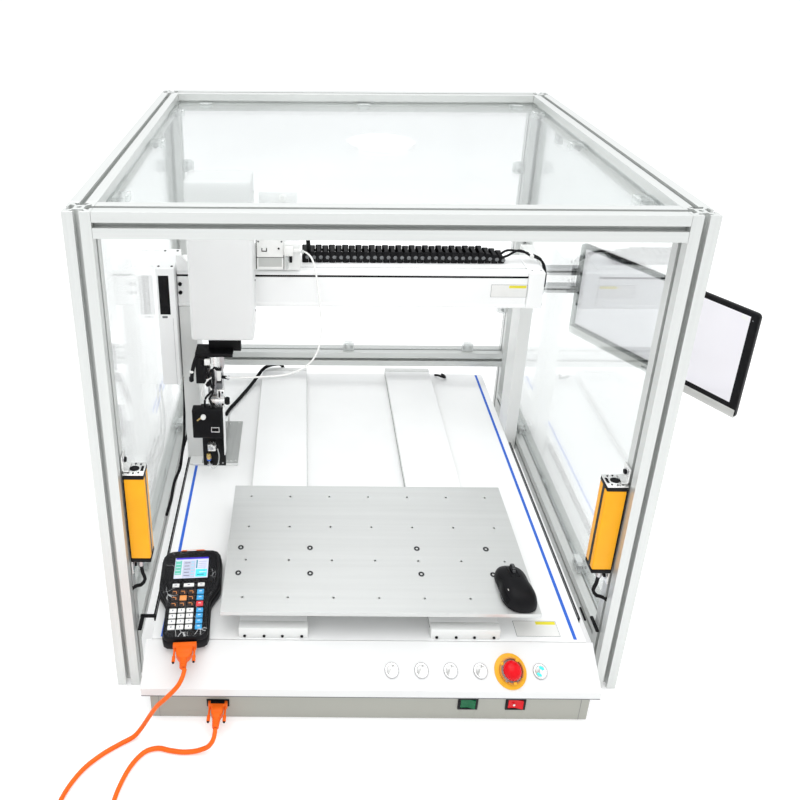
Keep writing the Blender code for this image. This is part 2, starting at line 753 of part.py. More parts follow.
def make_z_axis():
    carriage = box("x_carriage", (HEAD_X - 0.060, 0.4690, 0.500), (HEAD_X + 0.060, BEAM_Y[0] - GAP - 0.001, 0.800))
    arm = box("carriage_arm", (HEAD_X, 0.4690, 0.611), (-0.1250, BEAM_Y[0] - GAP - 0.001, 0.668))
    join(carriage, arm)
    low = (HEAD_X - COVER_HALF_WIDTH, COVER_Y[0], COVER_Z[0])
    high = (HEAD_X + COVER_HALF_WIDTH, COVER_Y[1], COVER_Z[1])
    cover = box("z_cover", low, high, "white_paint", 0.007, 3)
    hollow = box("z_cover_hollow", (low[0] + 0.003, low[1] + 0.003, low[2] - 0.01),
                 (high[0] - 0.003, high[1] + 0.01, high[2] - 0.003), cutter=True)
    cut(cover, hollow)
    box("valve_block", (-0.2180, BEAM_Y[0], 0.612), (-0.1280, 0.5215, 0.668), "white_paint", 0.0015, 1)
    cylinder("z_screw", (HEAD_X, SCREW_Y, 0.655), SCREW_RADIUS, 0.290, "steel", sides=16)
    slide = box("z_slide", (HEAD_X - 0.034, 0.4250, FLANGE_Z + 0.002), (HEAD_X + 0.034, 0.4370, 0.730), "black_metal")
    flange = box("z_flange", (HEAD_X - 0.0605, 0.4030, FLANGE_Z), (HEAD_X + 0.018, 0.4420, FLANGE_Z + 0.008))
    nut = box("z_nut", (HEAD_X - 0.015, 0.4360, 0.600), (HEAD_X + 0.015, 0.4660, 0.630))
    join(slide, flange, nut)
    cut(slide, cylinder("nut_hole", (HEAD_X, SCREW_Y, 0.615), SCREW_RADIUS + 0.0004, 0.06, sides=16, cutter=True))


def make_head():
    top = FLANGE_Z - GAP
    box("r_motor", (-0.3440, 0.4000, 0.3760), (-0.3240, 0.4400, top), "black_metal", 0.001, 1)
    x, y = HEAD_AXIS
    bracket = box("r_bracket", (x - 0.016, y - 0.008, 0.318), (x + 0.016, y + 0.008, 0.408), "steel")
    hub = cylinder("r_hub", (x, y, (0.400 + top) / 2), 0.0165, top - 0.400, sides=24)
    join(bracket, hub)
    plate = box("head_plate", (-0.3380, 0.4050, 0.1580), (-0.2880, y - 0.008 - GAP, 0.3180), "black_metal")
    feeder = box("feeder_box", (-0.3550, 0.3850, 0.2465), (-0.2870, 0.4055, 0.3195), "black_metal", 0.0015, 1)
    join(plate, feeder)
    profile = [
        (0, 0.150),
        (0.007, 0.148),
        (0.008, 0.140),
        (0.008, 0.070),
        (0.0095, 0.066),
        (0.0095, 0.060),
        (0.005, 0.054),
        (0.005, 0.028),
        (0.0032, 0.024),
        (0.0032, 0.010),
        (0.0006, 0.0),
        (0, 0.0),
    ]
    turned("soldering_iron", profile, "steel", (x, y + 0.003, 0.152), steps=16)


# Hand controller and its cord -----------------------------------------------------------------

def pendant_outline():
    head = PENDANT_HEAD_WIDTH / 2
    grip = PENDANT_GRIP_WIDTH / 2
    half = PENDANT_LENGTH / 2
    right = [
        (grip - 0.012, -half),
        (grip - 0.003, -half + 0.004),
        (grip, -half + 0.014),
        (grip, -0.024),
        (grip + 0.004, -0.010),
        (head - 0.002, 0.006),
        (head, 0.018),
        (head, half - 0.022),
        (head - 0.006, half - 0.008),
        (head - 0.020, half),
    ]
    return right + [(-x, y) for x, y in reversed(right)]


def make_pendant():
    z = BASE_TOP_Z + GAP + PENDANT_THICKNESS / 2
    pendant = plate_outline("pendant_body", [pendant_outline()], PENDANT_THICKNESS, "black_plastic",
                            (*PENDANT_CENTRE, z), (0, 0, PENDANT_TURN))
    round_edges(pendant, 0.004, 2)
    half_plug = Vector(PENDANT_PLUG) / 2
    end = Matrix.Rotation(PENDANT_TURN, 3, "Z") @ Vector((0, -PENDANT_LENGTH / 2 - GAP - half_plug.y, 0))
    centre = Vector((*PENDANT_CENTRE, z)) + end
    box("pendant_plug", centre - half_plug, centre + half_plug, "orange_rubber", 0.003, 2,
        rotation=(0, 0, PENDANT_TURN))
    width, length, height = PORT_PLUG
    front = BASE_FRONT_Y - GAP
    box("port_plug", (PORT_X - width / 2, front - length, PORT_Z - height / 2),
        (PORT_X + width / 2, front, PORT_Z + height / 2), "orange_rubber", 0.003, 2)


def make_cord():
    spacing = 2.2 * CORD_DIAMETER
    tube("cord_port_side", PORT_CORD_ROUTE, CORD_RADIUS, "orange_rubber", spacing)
    tube("cord_pendant_side", PENDANT_CORD_ROUTE, CORD_RADIUS, "orange_rubber", spacing)
    inner = COIL_MEAN_RADIUS - CORD_DIAMETER
    outer = COIL_MEAN_RADIUS + CORD_DIAMETER
    height = 2 * CORD_DIAMETER
    profile = [(outer, height), (outer, 0.0002), (inner, 0.0002), (inner, height), (outer, height)]
    turned("cord_coil", profile, "orange_rubber", (*COIL_CENTRE, 0), steps=32)


def make_feed_tube():
    tube("feed_tube", FEED_TUBE_ROUTE, FEED_TUBE_RADIUS, "tube_plastic", 0.012)


# Accessories ----------------------------------------------------------------------------------

def make_curtains():
    low_x, high_x = CURTAIN_X
    for side, sign in (("left", -1), ("right", 1)):
        ends = sorted((sign * low_x, sign * high_x))
        low_z, high_z = CURTAIN_Z[side]
        box(f"light_curtain_{side}", (ends[0], CURTAIN_Y[0], low_z), (ends[1], CURTAIN_Y[1], high_z),
            "yellow_paint", 0.002, 1)


def local_box(name, low, high, material, origin, turn, bevel=0.0):
    """A box given in a turned frame: X along the screen, Y out of its back, Z up."""
    centre = Vector([(low[i] + high[i]) / 2 for i in range(3)])
    size = [high[i] - low[i] for i in range(3)]
    place = Vector(origin) + Matrix.Rotation(turn, 3, "Z") @ centre
    thing = add_object(name, cube_mesh(name, size), material, place, (0, 0, turn))
    if bevel:
        round_edges(thing, bevel, 2)
    return thing


def make_monitor():
    """The screen and the horizontal hub on its back that it tilts about."""
    half_width = MONITOR_WIDTH / 2
    half_height = MONITOR_HEIGHT / 2
    half_depth = MONITOR_DEPTH / 2
    monitor = local_box("monitor", (-half_width, -half_depth, -half_height), (half_width, half_depth, half_height),
                        "black_plastic", MONITOR_CENTRE, MONITOR_TURN)
    round_edges(monitor, MONITOR_ROUNDING, 2)
    neck = local_box("monitor_neck", (-0.026, half_depth - 0.001, -0.012), (0.026, 0.035, 0.012),
                     "black_plastic", MONITOR_CENTRE, MONITOR_TURN)
    turn = Matrix.Rotation(MONITOR_TURN, 3, "Z")
    hub_place = Vector(MONITOR_CENTRE) + turn @ Vector((0, 0.035, 0))
    hub = cylinder("monitor_hub", hub_place, 0.012, 0.052, direction=turn @ Vector((1, 0, 0)), sides=24)
    join(monitor, neck, hub)


def make_monitor_arm():
    """A swivelling link whose fork holds the screen's hub, and the bars that carry it."""
    turn = Matrix.Rotation(MONITOR_TURN, 3, "Z")
    fork = local_box("monitor_arm", (-0.0335, 0.050, -0.014), (0.0335, 0.060, 0.014), "steel",
                     MONITOR_CENTRE, MONITOR_TURN)
    for sign in (-1, 1):
        ends = sorted((sign * 0.0268, sign * 0.0335))
        join(fork, local_box(f"arm_ear_{sign}", (ends[0], 0.027, -0.014), (ends[1], 0.0505, 0.014), "steel",
                             MONITOR_CENTRE, MONITOR_TURN))
    start = Vector((*SWIVEL_XY, (ARM_UPPER_Z + ARM_LOWER_Z) / 2))
    end = Vector(MONITOR_CENTRE) + turn @ Vector((0, 0.056, 0))
    end.z = start.z
    reach = end - start
    angle = math.atan2(reach.y, reach.x)
    link = local_box("arm_link", (0, -0.009, -0.012), (reach.length, 0.009, 0.012), "steel", start, angle)
    knuckle_height = ARM_UPPER_Z - ARM_LOWER_Z - ARM_BAR - 2 * GAP
    knuckle = cylinder("arm_knuckle", start, 0.0125, knuckle_height, sides=24)
    join(fork, link, knuckle)
    cut(fork, cylinder("knuckle_hole", start, 0.0054, 0.06, sides=16, cutter=True))
    side_x = HALF_WIDTH + GAP
    bracket = box("monitor_bracket", (side_x, INNER_REAR_Y, 0.380), (side_x + 0.006, ENCLOSURE_DEPTH, 0.490), "steel")
    half = ARM_BAR / 2
    for name, z in (("upper", ARM_UPPER_Z), ("lower", ARM_LOWER_Z)):
        join(bracket, box(f"bar_{name}", (side_x + 0.005, SWIVEL_XY[1] - half, z - half),
                          (SWIVEL_XY[0] + 0.014, SWIVEL_XY[1] + half, z + half), "steel"))
    join(bracket, cylinder("swivel_pin", start, 0.005, ARM_UPPER_Z - ARM_LOWER_Z, sides=16))


def make_mouse():
    mesh = bpy.data.meshes.new("mouse_shell")
    shape = bmesh.new()
    bmesh.ops.create_uvsphere(shape, u_segments=20, v_segments=12, radius=1.0)
    scale = Matrix.Diagonal((MOUSE_SIZE[0] / 2, MOUSE_SIZE[1] / 2, MOUSE_SIZE[2], 1))
    bmesh.ops.transform(shape, matrix=scale, verts=shape.verts)
    everything = shape.verts[:] + shape.edges[:] + shape.faces[:]
    cut_level = 0.004
    result = bmesh.ops.bisect_plane(shape, geom=everything, plane_co=(0, 0, cut_level), plane_no=(0, 0, 1),
                                    clear_inner=True)
    rim = [item for item in result["geom_cut"] if isinstance(item, bmesh.types.BMEdge)]
    bmesh.ops.edgeloop_fill(shape, edges=rim)
    bmesh.ops.recalc_face_normals(shape, faces=shape.faces)
    shape.to_mesh(mesh)
    shape.free()
    shade_round(mesh)
    shell = add_object("mouse_shell", mesh, "black_plastic", (*MOUSE_CENTRE, PLATE_TOP_Z + GAP - cut_level))
    axle = (MOUSE_CENTRE[0], MOUSE_CENTRE[1] + 0.024, PLATE_TOP_Z + 0.0235)
    pocket = box("wheel_pocket", (axle[0] - 0.0045, axle[1] - 0.0125, axle[2] - 0.0125),
                 (axle[0] + 0.0045, axle[1] + 0.0125, axle[2] + 0.0200), cutter=True)
    cut(shell, pocket)
    cylinder("mouse_wheel", axle, WHEEL_RADIUS, 0.007, "black_plastic", (1, 0, 0), sides=20)


make_posts()
make_rails()
make_panels()
make_chassis()
make_cover()
make_control_panel()
make_buttons()
make_rockers()
make_y_axis()
make_columns()
make_beam()
make_drive_housing()
make_z_axis()
make_head()
make_pendant()
make_cord()
make_feed_tube()
make_curtains()
make_monitor()
make_monitor_arm()
make_mouse()
bpy.context.view_layer.update()
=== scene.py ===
"""Looks of a desktop gantry soldering robot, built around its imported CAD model.

Places are given in the enclosure's layout: X is 0 at its centre, Y is 0 at the front face of its front
posts and Z is 0 on the table.  ORIGIN is that point in the row frame, read from the frame itself.
"""

import math
import random

import bmesh
import bpy
from mathutils import Matrix, Vector


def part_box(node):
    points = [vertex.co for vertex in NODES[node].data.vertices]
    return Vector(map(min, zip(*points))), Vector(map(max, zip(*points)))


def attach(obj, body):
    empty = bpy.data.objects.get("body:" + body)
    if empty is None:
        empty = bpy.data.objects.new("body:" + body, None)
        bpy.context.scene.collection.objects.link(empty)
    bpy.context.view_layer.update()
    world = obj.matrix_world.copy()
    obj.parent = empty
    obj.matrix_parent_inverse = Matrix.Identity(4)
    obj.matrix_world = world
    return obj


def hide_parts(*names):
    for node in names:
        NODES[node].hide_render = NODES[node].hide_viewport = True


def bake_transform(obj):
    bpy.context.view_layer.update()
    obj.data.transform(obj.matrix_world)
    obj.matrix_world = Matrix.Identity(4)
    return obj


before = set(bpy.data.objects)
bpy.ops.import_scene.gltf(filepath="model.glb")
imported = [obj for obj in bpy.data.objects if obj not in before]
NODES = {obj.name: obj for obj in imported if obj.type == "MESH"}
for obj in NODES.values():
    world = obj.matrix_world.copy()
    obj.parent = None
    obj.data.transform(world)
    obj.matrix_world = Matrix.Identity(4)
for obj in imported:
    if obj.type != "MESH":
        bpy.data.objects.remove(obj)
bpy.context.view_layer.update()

POST_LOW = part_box("post_front_left")[0]
POST_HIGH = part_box("post_front_right")[1]
ORIGIN = Vector(((POST_LOW.x + POST_HIGH.x) / 2, POST_LOW.y, 0))


def span(node):
    """Lowest and highest corners of a CAD node, in the layout."""
    low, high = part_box(node)
    return low - ORIGIN, high - ORIGIN


# Materials ------------------------------------------------------------------------------------

def surface(name, colour, roughness, metallic=0.0, variation=0.03, cloud=5.0, grain=900.0, relief=0.04,
            gloss_variation=0.06, stretch=(1, 1, 1), **sockets):
    """A finish whose colour and gloss drift a little, with a fine relief; everything is procedural."""
    material = bpy.data.materials.new(name)
    material.use_nodes = True
    nodes = material.node_tree.nodes
    link = material.node_tree.links.new
    shader = nodes["Principled BSDF"]
    shader.inputs["Metallic"].default_value = metallic
    for socket, value in sockets.items():
        shader.inputs[socket.replace("_", " ")].default_value = value
    coordinates = nodes.new("ShaderNodeTexCoord")
    mapping = nodes.new("ShaderNodeMapping")
    mapping.inputs["Scale"].default_value = stretch
    link(coordinates.outputs["Object"], mapping.inputs["Vector"])
    broad = nodes.new("ShaderNodeTexNoise")
    broad.inputs["Scale"].default_value = cloud
    broad.inputs["Detail"].default_value = 3.0
    link(mapping.outputs["Vector"], broad.inputs["Vector"])
    ramp = nodes.new("ShaderNodeValToRGB")
    for element, factor in zip(ramp.color_ramp.elements, (1 - variation, 1 + variation)):
        element.color = (*[min(1.0, channel * factor) for channel in colour], 1.0)
    ramp.color_ramp.elements[0].position = 0.3
    ramp.color_ramp.elements[1].position = 0.7
    link(broad.outputs["Fac"], ramp.inputs["Fac"])
    link(ramp.outputs["Color"], shader.inputs["Base Color"])
    fine = nodes.new("ShaderNodeTexNoise")
    fine.inputs["Scale"].default_value = grain
    fine.inputs["Detail"].default_value = 2.0
    link(mapping.outputs["Vector"], fine.inputs["Vector"])
    gloss = nodes.new("ShaderNodeMapRange")
    gloss.inputs["To Min"].default_value = max(0.02, roughness - gloss_variation)
    gloss.inputs["To Max"].default_value = min(1.0, roughness + gloss_variation)
    link(fine.outputs["Fac"], gloss.inputs["Value"])
    link(gloss.outputs["Result"], shader.inputs["Roughness"])
    bump = nodes.new("ShaderNodeBump")
    bump.inputs["Strength"].default_value = relief
    bump.inputs["Distance"].default_value = 0.0005
    link(fine.outputs["Fac"], bump.inputs["Height"])
    link(bump.outputs["Normal"], shader.inputs["Normal"])
    return material


def clear_sheet():
    """Clear polished sheet: a mirror as strong as its Fresnel reflection, and see-through for the rest."""
    material = surface("clear_sheet", (0.90, 0.93, 0.92), 0.03, metallic=1.0, relief=0.002,
                       gloss_variation=0.01,
                       cloud=3.0, grain=40.0)
    nodes = material.node_tree.nodes
    link = material.node_tree.links.new
    fresnel = nodes.new("ShaderNodeFresnel")
    fresnel.inputs["IOR"].default_value = 1.42
    haze = nodes.new("ShaderNodeMapRange")
    haze.inputs["From Min"].default_value = 0.15
    haze.inputs["From Max"].default_value = 0.70
    haze.inputs["To Min"].default_value = 0.020
    haze.inputs["To Max"].default_value = 0.55
    link(fresnel.outputs["Fac"], haze.inputs["Value"])
    link(haze.outputs["Result"], nodes["Principled BSDF"].inputs["Alpha"])
    return material


def screen_tone(name, colour):
    """A patch of a lit liquid-crystal display under its glossy cover."""
    return surface(name, colour, 0.16, variation=0.05, cloud=220.0, relief=0.01, gloss_variation=0.03,
                   Emission_Color=(*colour, 1.0), Emission_Strength=0.25)


def film_with_painted_glints():
    """Thin clear wrapping: almost invisible between its folds, which show as fine white glints painted into
    its opacity (painted highlights).
    """
    material = surface("film", (0.86, 0.87, 0.88), 0.10, variation=0.04, cloud=90.0, relief=0.02,
                       gloss_variation=0.03)
    nodes = material.node_tree.nodes
    link = material.node_tree.links.new
    coordinates = nodes.new("ShaderNodeTexCoord")
    bend = nodes.new("ShaderNodeTexNoise")
    bend.inputs["Scale"].default_value = 26.0
    bend.inputs["Detail"].default_value = 4.0
    folds = nodes.new("ShaderNodeTexVoronoi")
    folds.feature = "DISTANCE_TO_EDGE"
    folds.inputs["Scale"].default_value = 62.0
    line = nodes.new("ShaderNodeMapRange")
    line.inputs["From Max"].default_value = 0.035
    line.inputs["To Min"].default_value = 1.0
    line.inputs["To Max"].default_value = 0.0
    patch = nodes.new("ShaderNodeMapRange")
    patch.inputs["From Min"].default_value = 0.53
    patch.inputs["From Max"].default_value = 0.62
    # painted highlight: fine white lines in patches, raised in opacity to stand in for glints
    glint = nodes.new("ShaderNodeMath")
    glint.operation = "MULTIPLY"
    opacity = nodes.new("ShaderNodeMapRange")
    opacity.inputs["To Min"].default_value = 0.012
    opacity.inputs["To Max"].default_value = 0.62
    link(coordinates.outputs["Object"], bend.inputs["Vector"])
    link(coordinates.outputs["Object"], folds.inputs["Vector"])
    link(folds.outputs["Distance"], line.inputs["Value"])
    link(bend.outputs["Fac"], patch.inputs["Value"])
    link(line.outputs["Result"], glint.inputs[0])
    link(patch.outputs["Result"], glint.inputs[1])
    link(glint.outputs["Value"], opacity.inputs["Value"])
    link(opacity.outputs["Result"], nodes["Principled BSDF"].inputs["Alpha"])
    return material


def turned_metal():
    """A spun metal face whose light in two opposite fans is painted into its colour (painted highlight and
    shade), centred on its own bounds.
    """
    material = surface("button_face_painted_sheen", (0.80, 0.80, 0.80), 0.25, metallic=0.6, variation=0.03, cloud=80.0,
                       relief=0.02)
    nodes = material.node_tree.nodes
    link = material.node_tree.links.new
    coordinates = nodes.new("ShaderNodeTexCoord")
    centred = nodes.new("ShaderNodeMapping")
    centred.inputs["Location"].default_value = (-0.5, -0.5, -0.5)
    fan = nodes.new("ShaderNodeTexGradient")
    fan.gradient_type = "RADIAL"
    painted_sheen = nodes.new("ShaderNodeValToRGB")
    # painted sheen: dark and bright fans in the base colour stand in for the face's reflection
    stops = ((0.0, 0.90), (0.12, 0.40), (0.30, 0.92), (0.50, 0.86), (0.62, 0.36), (0.80, 0.94), (1.0, 0.90))
    for place_at, value in stops[1:-1]:
        painted_sheen.color_ramp.elements.new(place_at)
    for element, (place_at, value) in zip(painted_sheen.color_ramp.elements, stops):
        element.position = place_at
        element.color = (value, value, value * 0.98, 1.0)
    link(coordinates.outputs["Generated"], centred.inputs["Vector"])
    link(centred.outputs["Vector"], fan.inputs["Vector"])
    link(fan.outputs["Fac"], painted_sheen.inputs["Fac"])
    link(painted_sheen.outputs["Color"], nodes["Principled BSDF"].inputs["Base Color"])
    return material


BRUSHED = {"X": (1, 45, 45), "Y": (45, 1, 45), "Z": (45, 45, 1)}


def anodised(axis):
    return surface("anodised_" + axis.lower(), (0.64, 0.655, 0.64), 0.36, metallic=0.50, variation=0.025,
                   cloud=6.0, grain=30.0, relief=0.03, gloss_variation=0.07, stretch=BRUSHED[axis])


MATERIALS = {
    "anodised_x": anodised("X"),
    "anodised_y": anodised("Y"),
    "anodised_z": anodised("Z"),
    "clear": clear_sheet(),
    "white_paint": surface("white_paint", (0.90, 0.905, 0.90), 0.38, relief=0.06, Coat_Weight=0.15,
                           Coat_Roughness=0.2),
    "panel_paint": surface("panel_paint", (0.74, 0.745, 0.74), 0.40, relief=0.06),
    "white_aluminium": surface("white_aluminium", (0.77, 0.78, 0.765), 0.42, relief=0.05, variation=0.025),
    "valve_recess_painted_shade": surface("valve_recess_painted_shade", (0.50, 0.51, 0.49), 0.45, relief=0.05),
    "plate": surface("plate", (0.64, 0.65, 0.64), 0.40, metallic=0.75, variation=0.03, cloud=2.2, grain=24.0,
                     relief=0.05, gloss_variation=0.08, stretch=(1, 40, 40)),
    "steel": surface("steel", (0.52, 0.52, 0.53), 0.30, metallic=1.0, variation=0.06, cloud=30.0, grain=260.0,
                     relief=0.05, gloss_variation=0.10),
    "bright_steel": surface("bright_steel", (0.86, 0.86, 0.85), 0.26, metallic=0.85, variation=0.04,
                            cloud=60.0,
                            grain=700.0, relief=0.03),
    "button_metal": surface("button_metal", (0.80, 0.80, 0.80), 0.25, metallic=0.8, variation=0.04,
                            cloud=80.0,
                            grain=900.0, relief=0.03),
    "button_face_painted_sheen": turned_metal(),
    "dark_rim_and_painted_shadow": surface("dark_rim_and_painted_shadow", (0.30, 0.30, 0.30), 0.30, metallic=0.7, variation=0.05, cloud=80.0,
                         relief=0.03),
    # front strip: its darker grey-green stands in for the shade on the vertical front face (painted shade)
    "front_strip_painted_shade": surface("front_strip_painted_shade", (0.35, 0.35, 0.31), 0.42, variation=0.03, relief=0.05),
    "sheet_metal": surface("sheet_metal", (0.42, 0.43, 0.42), 0.36, metallic=0.4, variation=0.05, cloud=12.0,
                           grain=60.0, relief=0.04, stretch=(30, 1, 1)),
    "brass": surface("brass", (0.72, 0.52, 0.20), 0.28, metallic=1.0, variation=0.06, cloud=60.0),
    "black_metal": surface("black_metal", (0.010, 0.010, 0.011), 0.42, variation=0.15, relief=0.06,
                           Specular_IOR_Level=0.10),
    "black_plastic": surface("black_plastic", (0.008, 0.008, 0.009), 0.42, variation=0.2, cloud=30.0,
                             relief=0.10,
                           Specular_IOR_Level=0.10),
    "black_gloss": surface("black_gloss", (0.006, 0.006, 0.007), 0.14, variation=0.2, relief=0.01,
                           gloss_variation=0.03,
                           Specular_IOR_Level=0.10),
    "black_rubber": surface("black_rubber", (0.010, 0.010, 0.011), 0.62, variation=0.15, relief=0.12,
                           Specular_IOR_Level=0.10),
    "grey_plastic": surface("grey_plastic", (0.16, 0.165, 0.17), 0.42, variation=0.08, cloud=25.0,
                            relief=0.08,
                            Specular_IOR_Level=0.3),
    "white_plastic": surface("white_plastic", (0.84, 0.84, 0.82), 0.32, variation=0.03, cloud=30.0,
                             relief=0.04),
    "clear_plastic": surface("clear_plastic", (0.80, 0.83, 0.82), 0.10, variation=0.04, cloud=60.0,
                             relief=0.03,
                             Alpha=0.45),
    "red_plastic": surface("red_plastic", (0.66, 0.004, 0.010), 0.20, variation=0.06, cloud=40.0, relief=0.02,
                           Specular_IOR_Level=0.16),
    "green_plastic": surface("green_plastic", (0.004, 0.12, 0.045), 0.22, variation=0.08, cloud=60.0,
                             relief=0.02,
                             Specular_IOR_Level=0.16),
    # teal arcs on the start button: a painted reflection, given emission so that it glows
    "teal_glowing_painted_reflection": surface("teal_glowing_painted_reflection", (0.05, 0.62, 0.52), 0.30, variation=0.10, cloud=160.0, relief=0.02,
                         Emission_Color=(0.05, 0.75, 0.62, 1.0), Emission_Strength=0.5),
    "yellow_paint": surface("yellow_paint", (0.90, 0.40, 0.008), 0.34, variation=0.05, cloud=20.0,
                            relief=0.05,
                            Specular_IOR_Level=0.2),
    "guard_orange": surface("guard_orange", (0.55, 0.20, 0.012), 0.30, variation=0.08, cloud=90.0,
                            relief=0.02),
    "yellow_disc": surface("yellow_disc", (0.80, 0.40, 0.02), 0.34, variation=0.05, cloud=50.0, relief=0.03,
                           Specular_IOR_Level=0.25),
    "orange_rubber": surface("orange_rubber", (0.80, 0.125, 0.006), 0.42, variation=0.06, cloud=35.0,
                             grain=1400.0,
                             relief=0.08, Specular_IOR_Level=0.2),
    "tube_plastic": surface("tube_plastic", (0.88, 0.88, 0.86), 0.22, variation=0.03, cloud=40.0, relief=0.02,
                            Alpha=0.92),
    "blue_tape": surface("blue_tape", (0.015, 0.12, 0.62), 0.38, variation=0.06, cloud=15.0, relief=0.05),
    "silver_plastic": surface("silver_plastic", (0.60, 0.60, 0.58), 0.32, metallic=0.5, variation=0.03,
                              cloud=20.0,
                              relief=0.04),
    "screen": surface("screen", (0.84, 0.82, 0.86), 0.10, variation=0.03, cloud=4.0, relief=0.004,
                      gloss_variation=0.02, Coat_Weight=0.6, Coat_Roughness=0.03),
    "mouse_black": surface("mouse_black", (0.007, 0.007, 0.008), 0.40, variation=0.2, cloud=30.0,
                           grain=1600.0,
                           relief=0.06,
                           Specular_IOR_Level=0.10),
    "film": film_with_painted_glints(),
    "key_dark": surface("key_dark", (0.045, 0.032, 0.030), 0.40, variation=0.2, cloud=160.0, relief=0.04,
                           Specular_IOR_Level=0.10),
    "key_blue": surface("key_blue", (0.04, 0.36, 0.72), 0.35, variation=0.06, cloud=160.0, relief=0.04),
    "key_red": surface("key_red", (0.75, 0.04, 0.06), 0.35, variation=0.06, cloud=160.0, relief=0.04),
    "key_orange": surface("key_orange", (0.88, 0.32, 0.08), 0.35, variation=0.06, cloud=160.0, relief=0.04),
    "lcd_pale": screen_tone("lcd_pale", (0.62, 0.64, 0.80)),
    "lcd_blue": screen_tone("lcd_blue", (0.05, 0.03, 0.55)),
    "lcd_green": screen_tone("lcd_green", (0.12, 0.50, 0.38)),
    "lcd_grey": screen_tone("lcd_grey", (0.46, 0.49, 0.62)),
    "lcd_teal": screen_tone("lcd_teal", (0.02, 0.25, 0.32)),
    "lcd_cyan": screen_tone("lcd_cyan", (0.08, 0.66, 0.80)),
    "lcd_ink": screen_tone("lcd_ink", (0.10, 0.10, 0.16)),
    "label_white": surface("label_white", (0.80, 0.80, 0.78), 0.35, variation=0.02, cloud=60.0, relief=0.02),
    "label_yellow": surface("label_yellow", (0.78, 0.70, 0.03), 0.35, variation=0.04, cloud=80.0,
                            relief=0.02),
}


# Mesh building --------------------------------------------------------------------------------

def brick(size, bevel=0.0, segments=2):
    """A box about its centre, with rounded edges."""
    shape = bmesh.new()
    bmesh.ops.create_cube(shape, size=1.0, matrix=Matrix.Diagonal((*size, 1.0)))
    if bevel:
        bmesh.ops.bevel(shape, geom=shape.edges[:], offset=bevel, segments=segments, affect="EDGES",
                        profile=0.5)
    return shape


def lathe(profile, steps=32):
    """A turned solid about Z; the profile's (radius, height) points run from its top to its foot."""
    shape = bmesh.new()
    rings = []
    for radius, height in profile:
        if radius < 1e-7:
            rings.append([shape.verts.new((0, 0, height))])
            continue
        rings.append([
            shape.verts.new((radius * math.cos(math.tau * i / steps),
                             radius * math.sin(math.tau * i / steps), height))
            for i in range(steps)
        ])
    for upper, lower in zip(rings, rings[1:]):
        for i in range(steps):
            j = (i + 1) % steps
            if len(upper) == 1:
                shape.faces.new((upper[0], lower[i], lower[j]))
            elif len(lower) == 1:
                shape.faces.new((upper[j], upper[i], lower[0]))
            else:
                shape.faces.new((upper[i], lower[i], lower[j], upper[j]))
    if profile[0] == profile[-1]:
        bmesh.ops.remove_doubles(shape, verts=shape.verts, dist=0.000001)
    return shape


def rod(radius, length, steps=24, bevel=0.0, foot=None):
    """A cylinder or cone about its centre, along Z, with softened rims."""
    foot = radius if foot is None else foot
    half = length / 2
    bevel = min(bevel, 0.9 * radius, 0.9 * foot, 0.45 * length)
    profile = [(0, half), (radius - bevel, half), (radius, half - bevel), (foot, bevel - half),
               (foot - bevel, -half), (0, -half)]
    if not bevel:
        profile = [(0, half), (radius, half), (foot, -half), (0, -half)]
    return lathe(profile, steps)


def ring(outer, inner, height, steps=32, bevel=0.0):
    """A washer or collar about its centre, along Z."""
    half = height / 2
    profile = [(inner, -half), (inner, half), (outer - bevel, half), (outer, half - bevel), (outer, -half),
               (inner, -half)]
    return lathe(profile, steps)


def prism(outline, depth, bevel=0.0, segments=2):
    """An outline in XY, anticlockwise, given a thickness about Z 0."""
    shape = bmesh.new()
    verts = [shape.verts.new((x, y, -depth / 2)) for x, y in outline]
    base = shape.faces.new(verts)
    pushed = bmesh.ops.extrude_face_region(shape, geom=[base])
    top = [item for item in pushed["geom"] if isinstance(item, bmesh.types.BMVert)]
    bmesh.ops.translate(shape, vec=(0, 0, depth), verts=top)
    bmesh.ops.recalc_face_normals(shape, faces=shape.faces)
    if bevel:
        rims = [e for e in shape.edges if abs(e.verts[0].co.z - e.verts[1].co.z) < depth / 2]
        bmesh.ops.bevel(shape, geom=rims, offset=bevel, segments=segments, affect="EDGES", profile=0.5)
    return shape


def swept(points, radius, steps=10, taper=None):
    """A round tube with closed ends along points; taper gives a radius factor for a share of the way."""
    shape = bmesh.new()
    rings = []
    normal = None
    for i, point in enumerate(points):
        ahead = points[min(i + 1, len(points) - 1)] - points[max(i - 1, 0)]
        ahead.normalize()
        if normal is None:
            normal = ahead.orthogonal().normalized()
        normal = (normal - ahead * normal.dot(ahead)).normalized()
        side = ahead.cross(normal)
        size = radius * (taper(i / (len(points) - 1)) if taper else 1.0)
        rings.append([
            shape.verts.new(point + size * (normal * math.cos(math.tau * k / steps)
                                            + side * math.sin(math.tau * k / steps)))
            for k in range(steps)
        ])
    for first, second in zip(rings, rings[1:]):
        for k in range(steps):
            n = (k + 1) % steps
            shape.faces.new((first[k], first[n], second[n], second[k]))
    shape.faces.new(rings[0][::-1])
    shape.faces.new(rings[-1])
    return shape


